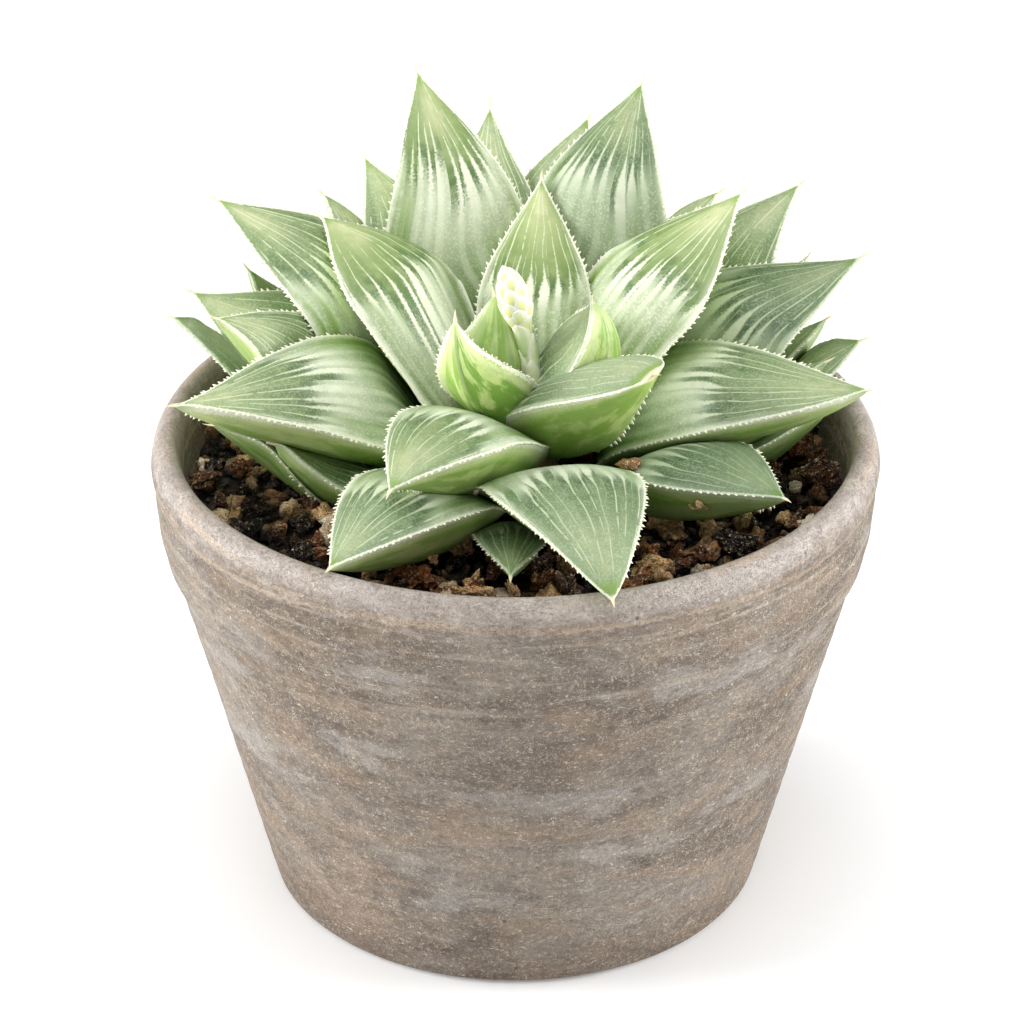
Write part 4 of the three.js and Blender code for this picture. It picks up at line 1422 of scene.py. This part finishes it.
# %% The window and what lies below it
def window_color(wires, given, at):
    """Dark where the window starts, mid green, then pale towards the tip, with a yellow blush."""
    fresh = given["Fresh"]
    dark, middle, light = (wires.blend(fresh, DULL[name], FRESH[name])
                           for name in ("dark", "middle", "light"))
    frost = at.speck.rise(0.5, 0.62) * fresh.rise(0.95, 0.3)
    blush = at.along.rise(0.74, 0.86) * at.along.rise(0.96, 0.91)
    blush = blush * (at.side + (at.mottle - 0.5)).rise(0.6, 0.05) * (0.15 + 0.42 * fresh)
    return wires.coats(
        dark,
        (at.past.rise(-0.02, 0.13), middle),
        (at.past.rise(0.1, 0.36), light),
        (at.mottle.rise(0.42, 0.7) * 0.4, light),
        (frost * 0.3, LEAF["frost"]),
        (at.side.rise(0.55, 0.9) * 0.3, middle),
        (blush, LEAF["blush"]),
        (at.along.rise(0.93, 0.975) * 0.8, LEAF["tip"]),
    )


def base_color(wires, given, at):
    """Each vein runs on as a soft pale streak on silvery green, under a band of cream."""
    windows = given["Windows"]
    silver, root = (wires.blend(given["Fresh"], DULL[name], FRESH[name])
                    for name in ("silver", "root"))
    line = (at.away + (at.streaks - 0.5) * 0.9).rise(at.strip_mm * 0.48, at.strip_mm * 0.06)
    near = at.along.rise(windows - 0.27, windows - 0.03)
    cream = near * (0.64 + 0.36 * line) * (1.0 - at.side * at.side * 0.7) * given["Cream"]
    return wires.coats(
        silver,
        # darker green towards the root: partly the leaf's own colour, partly painted shade near the
        # stem
        (at.along.rise(windows - 0.1, windows - 0.42), root),
        (at.speck.rise(0.47, 0.36) * 0.35, root),
        (cream.at_least(line * at.along.rise(0.02, 0.35) * 0.45), LEAF["cream"]),
        (at.speck.rise(0.53, 0.66) * (0.3 + 0.7 * near) * 0.4, LEAF["dot"]),
    )


print("a fresh window's middle green is", [round(c, 2) for c in FRESH["middle"][:3]])

# %% The two faces of a leaf
def upper_color(wires, given, at):
    """The window over the base, the veins over both, then olive stripes and a cream margin."""
    windows = given["Windows"]
    vein = wires.blend(at.inner, LEAF["thin_vein"], LEAF["wide_vein"])
    olive = at.side.rise(0.45, 0.7) * at.inset.rise(0.2, 0.8)
    olive = olive * at.along.rise(windows + 0.14, windows - 0.12)
    olive = olive * at.stripes.rise(0.42, 0.58) * given["Olive"]
    olive = olive * (0.35 + 0.65 * at.streaks.rise(0.62, 0.4))
    glow = (at.inset + (at.mottle - 0.5)).rise(1.2, 0.1) * at.along.rise(0.9, 0.5) * 0.5
    return wires.coats(
        base_color(wires, given, at),
        ((at.past + (at.speck - 0.5) * 0.12).rise(-0.07, 0.03), window_color(wires, given, at)),
        (veins_on(wires, given, at), vein),
        (olive * 0.85, LEAF["olive"]),
        (glow.at_least(at.margin), LEAF["margin"]),
    )


def back_color(wires, given, at):
    """Green with pale dashes and stripes, and a pale band beside the margin."""
    bright = given["Bright back"]
    back, deep = (wires.blend(bright, DULL[name], FRESH[name]) for name in ("back", "deep_back"))
    plain = given["Plain side"] * at.across.rise(-0.2, 0.05)
    dashes = at.dashes.rise(0.48, 0.62) * at.along.rise(0.2, 0.5) * (0.3 + 0.45 * bright)
    stripes = at.stripes.rise(0.46, 0.6) * given["Stripes"] * (1.0 - plain)
    band = (at.inset + (at.stripes - 0.5) * 2.4 + (at.speck - 0.5) * 0.6).rise(1.2, 0.2)
    keel = (at.side * at.half).rise(0.35, 0.1) * at.along.rise(0.5, 0.8)
    return wires.coats(
        back,
        (at.along.rise(0.35, 0.05) * 0.7, deep),
        (plain * 0.8, deep),
        (dashes, LEAF["dash"]),
        (stripes, LEAF["stripe"]),
        (band * 0.7, LEAF["band"]),
        (at.margin, LEAF["margin"]),
        (keel * 0.5, LEAF["keel"]),
        (at.along.rise(0.9, 0.98) * 0.6, LEAF["back_tip"]),
    )


print("a fresh back's green is", [round(c, 2) for c in FRESH["back"][:3]])

# %% Leaf markings
def leaf_markings():
    """The upper colour or that of the back, shaded as a whole, with a dry tip."""
    wires, given = new_group(
        "Leaf markings",
        {"Veins": 9.0, "Windows": 0.5, "Seed": 0.0, "Fresh": 0.5, "Shade": 0.0, "Cream": 0.8,
         "Olive": 0.6, "Bright back": 0.3, "Stripes": 0.3, "Plain side": 0.0},
        {"Color": tuple, "Roughness": float, "Height": float},
    )
    at = places_on_leaf(wires, given)
    vein_strips(wires, given, at)
    color = wires.coats(
        upper_color(wires, given, at),
        (wires.mark("under"), back_color(wires, given, at)),
        (at.mottle.rise(0.4, 0.75) * 0.12, LEAF["mottle"]),
    )
    shade = wires.blend(given["Shade"], LEAF["lit"], LEAF["shaded"])
    color = wires.blend(1.0, color, shade, way="MULTIPLY")
    horn = wires.blend(at.along.rise(0.985, 1.0) * 0.5, LEAF["horn"], LEAF["bristle"])
    color = wires.blend(wires.mark("horn"), color, horn)
    return close_group(wires, {"Color": color, "Roughness": 0.4 + 0.16 * at.speck,
                               "Height": at.speck * 0.6})


MARKINGS = leaf_markings()
print("markings group has", len(MARKINGS.nodes), "nodes")

# %% [markdown]
# ## A finish for each leaf
# All leaves share the markings, but no two look alike. Leaves in the heart are fresh and show
# bright backs, those of the outer whorls are greyer, and the skirt near the soil is in shade and
# darker. So each leaf gets its own small material, with the shared group and its own values.

# %% Leaf styles
STYLE_NAMES = ("Fresh", "Shade", "Olive", "Bright back", "Stripes", "Cream")
STYLES = {
    "heart": (0.9, 0.0, 0.7, 0.9, 0.5, 0.7),
    "inner": (0.8, 0.0, 0.7, 0.9, 0.3, 0.8),
    "middle": (0.7, 0.0, 1.0, 0.8, 0.3, 0.9),
    "outer": (0.35, 0.1, 0.8, 0.7, 0.35, 0.75),
    "skirt": (0.3, 0.6, 0.6, 0.4, 0.2, 0.5),
}

LOOKS = {  # what single leaves show that the rest of their whorl doesn't
    1: {"Stripes": 0.75, "Plain side": 1.0},
    2: {"Windows": 0.3, "Veins": 6.0, "Fresh": 0.3, "Stripes": 0.6, "Shade": 0.2},
    3: {"Windows": 0.35, "Veins": 6.0, "Fresh": 0.5, "Stripes": 0.3, "Shade": 0.35,
        "Bright back": 0.5},
    4: {"Windows": 0.3, "Fresh": 0.1, "Stripes": 0.1, "Shade": 0.1},
    5: {"Windows": 0.48, "Veins": 8.0, "Fresh": 0.9, "Cream": 0.32},
    6: {"Windows": 0.54, "Veins": 8.0, "Fresh": 0.5, "Stripes": 0.1, "Shade": 0.25},
    7: {"Windows": 0.56, "Veins": 10.0, "Fresh": 0.8, "Cream": 0.75},
    8: {"Windows": 0.57, "Veins": 9.0, "Fresh": 0.8, "Cream": 0.7},
    9: {"Windows": 0.67, "Veins": 9.0, "Fresh": 0.4, "Cream": 0.5, "Shade": 0.3},
    10: {"Windows": 0.67, "Veins": 10.0, "Fresh": 0.8, "Cream": 1.0},
    11: {"Windows": 0.48, "Veins": 10.0, "Fresh": 0.2, "Cream": 0.8, "Shade": 0.35},
    12: {"Windows": 0.46, "Veins": 9.0, "Fresh": 0.4, "Cream": 0.9, "Shade": 0.25},
    13: {"Windows": 0.52, "Veins": 9.0, "Fresh": 0.45, "Cream": 1.0},
    14: {"Windows": 0.54, "Veins": 9.0, "Fresh": 0.15, "Shade": 0.2},
    15: {"Windows": 0.54, "Veins": 9.0, "Fresh": 0.05, "Shade": 0.65},
    16: {"Windows": 0.60, "Veins": 9.0, "Fresh": 0.2, "Shade": 0.5},
    17: {"Windows": 0.60, "Veins": 9.0, "Fresh": 0.55, "Shade": 0.1},
}
print("leaves with a look of their own:", len(LOOKS))

# %% Grow the leaves
LEAF_SEED = 700  # added to a leaf's number for its own draws


def leaf_skin(name, values):
    """A material of one leaf: the shared markings with the leaf's own values."""
    material, wires, shader = new_material(name)
    marks = place_group(wires, MARKINGS, values)
    finish_surface(wires, shader, marks["Color"], marks["Roughness"], marks["Height"], 0.09)
    set_values(shader, {"Specular IOR Level": 0.4})
    return material


def grow_leaf(number, leaf, backs):
    """One leaf: its own draws, its solid behind the leaves before it, and its skin."""
    random = np.random.default_rng(LEAF_SEED + number)
    leaf = {**leaf, "bend": random.uniform(-0.3, 0.4), "bristle": random.uniform(0.9, 1.4)}
    looks = {"Veins": float(random.integers(8, 11)), "Windows": random.uniform(0.46, 0.54),
             "Seed": float(number) * 1.37, **dict(zip(STYLE_NAMES, STYLES[leaf["whorl"]])),
             **LOOKS.get(number, {})}
    name = f"leaf_{number:02d}"
    points, faces, marks = leaf_solid(leaf, number)
    if leaf["whorl"] not in ("heart", "inner"):
        points = give_way(points, leaf, backs, marks["under"])
    backs.append(back_of(leaf))
    skin = leaf_skin(f"skin of {name}", looks)
    return make_piece(f"haworthia_{name}", points, faces, skin, [name], marks)


backs = []
rosette = [grow_leaf(n, leaf, backs) for n, leaf in enumerate(leaves, start=1)]
print("the rosette has", sum(len(leaf.data.polygons) for leaf in rosette), "faces")

# %% [markdown]
# ## The stem
# The stem is short and hidden among the leaf roots. It is turned like the pot, from a profile
# that narrows towards the top, with a dry, fibrous finish.

# %% Stem
STEM_PROFILE = np.array([(6.2, 50), (6.2, 62), (5.6, 66), (3.6, 71.3)])
STEM_SIDES = 40


def dry_stem():
    """Straw-coloured fibres: a noise that is stretched along the stem."""
    material, wires, shader = new_material("dry stem")
    fibres = wires.noise(wires.place((1, 1, 0.2)), 1.2, 3.0)
    color = wires.blend(fibres, paint(96, 84, 50), paint(178, 164, 112))
    finish_surface(wires, shader, color, 0.8, fibres, 0.2)
    return material


stem_line = evened(even_steps(STEM_PROFILE, 0.4), 2)
stem_rings = turned(stem_line[:, :1], stem_line[:, 1:], circle(STEM_SIDES))
stem_points = tube_points(stem_rings, [0, 0, 50], [0, 0, 71.5])
stem_faces = tube_faces(len(stem_line), STEM_SIDES)
make_piece("short_stem", stem_points, stem_faces, dry_stem(), ["stem"])
print("stem rises to", round(stem_points[:, 2].max(), 1), "mm")

# %% [markdown]
# ## The flower spike
# A young spike stands in the heart: a stalk with pointed bracts that cling to it, and an
# egg-shaped head of unopened buds, each under its own scale. The scales overlap like roof tiles
# and follow a spiral, each a golden angle further round than the last. A scale is a small lens,
# curved round the head, pale cream with a yellow-green middle.

# %% Spike shape
SPIKE_FOOT = np.array([2.2, -1.4, 71.8])
SPIKE_NECK = np.array([1.9, -2.4, 84.0])
SPIKE_TIP = np.array([-1.9, -2.6, 95.4])
SPIKE_LENGTH = 25.0


def spike_frame(t):
    """Centre, direction, side and front of the spike at shares t of a bent line."""
    t = np.atleast_1d(t)[:, None]
    centre = (1 - t)**2 * SPIKE_FOOT + 2 * (1 - t) * t * SPIKE_NECK + t**2 * SPIKE_TIP
    along = unit((1 - t) * (SPIKE_NECK - SPIKE_FOOT) + t * (SPIKE_TIP - SPIKE_NECK))
    side = unit(np.cross([0, 1, 0], along))
    return centre, along, side, np.cross(along, side)


def spike_radius(t):
    """The stalk thins upwards, then the head swells as a sine to the power 0.8."""
    stalk = 1.7 * (1 - 0.35 * np.clip(t / 0.5, 0, 1)) * np.clip((1 - t) / 0.2, 0, 1)
    swell = np.sin(np.pi * np.clip((t - 0.5) / 0.46, 0, 1))
    return np.maximum(np.maximum(stalk, 2.0 * np.maximum(swell, 0) ** 0.8), 0.12)


print("the head is", round(2 * float(spike_radius(0.73)), 1), "mm wide")

# %% The shape of a scale
SCALE_ROWS = SCALE_COLUMNS = 9


def scale_shapes(t, turn, length, width, lift):
    """Front and back faces of closed lenses on the spike. Down each scale runs a, and across it
    b, from -1 to 1. Its width is that of an almond, it follows the head's curve, and lift raises
    its point."""
    a = np.linspace(0, 1, SCALE_ROWS)[None, :, None]
    b = np.linspace(-1, 1, SCALE_COLUMNS)[None, None, :]
    _, _, side, front = (v[:, None, None] for v in spike_frame(t))
    t, turn, length, width = (v[:, None, None] for v in (t, turn, length, width))
    almond = np.sin(np.pi * np.clip(a * 0.86 + 0.14, 0, 1)) ** 0.75
    place = np.clip(t + a * length / SPIKE_LENGTH, 0, 0.97)
    radius = spike_radius(place)
    angle = turn + b * almond * width / 2 / np.maximum(radius, 0.9)
    spine = spike_frame(place.reshape(-1))[0].reshape(*place.shape, 3)
    outward = side * np.cos(angle)[..., None] + front * np.sin(angle)[..., None]
    thick = 0.16 * almond * (1 - b**2)
    faces = [spine + outward * (radius + level + lift * a**2)[..., None]
             for level in (0.12 + thick, -0.28)]
    return faces, np.broadcast_to(a, angle.shape), np.broadcast_to(b, angle.shape)


print("a scale has", 2 * SCALE_ROWS * SCALE_COLUMNS, "points")

# %% Sew a scale together
def scale_rim():
    """Numbers of the points round the rim of a scale's grid."""
    rows, columns = SCALE_ROWS, SCALE_COLUMNS
    return np.concatenate([
        np.arange(columns), np.arange(1, rows) * columns + columns - 1,
        (rows - 1) * columns + np.arange(columns - 2, -1, -1),
        np.arange(rows - 2, 0, -1) * columns])


def scale_solid(t, turn, length, width, lift):
    """The two faces of every scale sewn together round their rim."""
    (top, back), a, b = scale_shapes(t, turn, length, width, lift)
    count = SCALE_ROWS * SCALE_COLUMNS
    quads = grid_quads(SCALE_ROWS, SCALE_COLUMNS, columns_close=False)
    rim = scale_rim()
    ahead = np.roll(rim, -1)
    walls = np.stack([ahead, rim, rim + count, ahead + count], -1)
    one = np.concatenate([quads, quads[:, ::-1] + count, walls])
    points = np.stack([side.reshape(len(t), -1, 3) for side in (top, back)], 1)
    faces = one[None] + (np.arange(len(t)) * 2 * count)[:, None, None]
    marks = {"along": np.stack([a, a], 1).ravel(), "across": np.stack([b, b], 1).ravel()}
    return points.reshape(-1, 3), faces.reshape(-1, 4).tolist(), marks


print("a scale's rim has", len(scale_rim()), "points")

# %% Bud finish
def bud_finish(name, pale, heart, green):
    """Pale at the rim of each scale and yellow-green in its middle, with a fine speckle."""
    material, wires, shader = new_material(name)
    across, along = abs(wires.mark("across")), wires.mark("along")
    speck = wires.noise(wires.place(), 2.2, 2.0)
    color = wires.coats(
        pale,
        (across.rise(0.75, 0.15) * along.rise(0.95, 0.45) * 0.85, heart),
        (along.rise(0.45, 0.1) * 0.5, green),
        (speck.rise(0.55, 0.75) * 0.3, green),
    )
    finish_surface(wires, shader, color, 0.5, speck, 0.06)
    set_values(shader, {"Subsurface Weight": 0.25, "Subsurface Radius": (1.0, 1.0, 0.6),
                        "Subsurface Scale": 0.001})
    return material


BUD = bud_finish("bud scales", paint(255, 255, 240), paint(238, 240, 140), paint(206, 222, 140))
BRACT = bud_finish("bracts", paint(240, 243, 212), paint(190, 212, 152), paint(176, 202, 130))
print("the buds' finish has", len(BUD.node_tree.nodes), "nodes")

# %% The stalk
CORE_RINGS, CORE_SIDES = 48, 28

core_t = np.linspace(0, 0.95, CORE_RINGS)
core_centre, core_along, core_side, core_front = spike_frame(core_t)
core_turns = circle(CORE_SIDES)[None, :, None]
core_spread = core_side[:, None] * np.cos(core_turns) + core_front[:, None] * np.sin(core_turns)
core_rings = core_centre[:, None] + spike_radius(core_t)[:, None, None] * core_spread * 0.97
core_points = tube_points(core_rings, core_centre[0], core_centre[-1] + core_along[-1] * 0.1)
core_marks = {"along": np.full(len(core_points), 0.4), "across": np.full(len(core_points), 0.5)}
make_piece("spike_stalk", core_points, tube_faces(CORE_RINGS, CORE_SIDES), BRACT,
           ["flower_spike"], core_marks)
print("the stalk has", len(core_points), "points")

# %% Bud scales and bracts
bud_rank = np.arange(34)
bud_t = 0.5 + 0.37 * (bud_rank / 33) ** 0.9
bud_size = 1 - 0.35 * bud_rank / 33
buds = scale_solid(bud_t, bud_rank * GOLDEN_ANGLE + 0.6, 3.4 * bud_size, 2.9 * bud_size, 0.25)

bract_rank = np.arange(6)
bract_t = 0.02 + 0.075 * bract_rank
bracts = scale_solid(bract_t, bract_rank * GOLDEN_ANGLE - 1.2, 9.0 - 0.7 * bract_rank,
                     np.full(6, 3.0), 0.35)

for name, (points, faces, marks), skin in (("bud_scales", buds, BUD),
                                           ("stalk_bracts", bracts, BRACT)):
    make_piece(name, points, faces, skin, marks=marks)
    print(name, "has", len(faces), "faces")

# %% [markdown]
# ## The size of the dressed plant
# The dressed plant has to keep the size of its frame. Both boxes are printed, so that they
# can be compared, with the count of triangles.

# %% Sizes
made_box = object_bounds()
made = [piece for piece in scene.objects if piece.type == "MESH" and not piece.hide_render]
triangles = {piece.name: sum(len(face.vertices) - 2 for face in piece.data.polygons)
             for piece in made}
print("triangles:", sum(triangles.values()), "of which", max(triangles.values()), "in one piece")
for name, box in (("frame ", cad_box), ("dressed", made_box)):
    print(name, *([round(c / MM, 1) for c in corner] for corner in box))
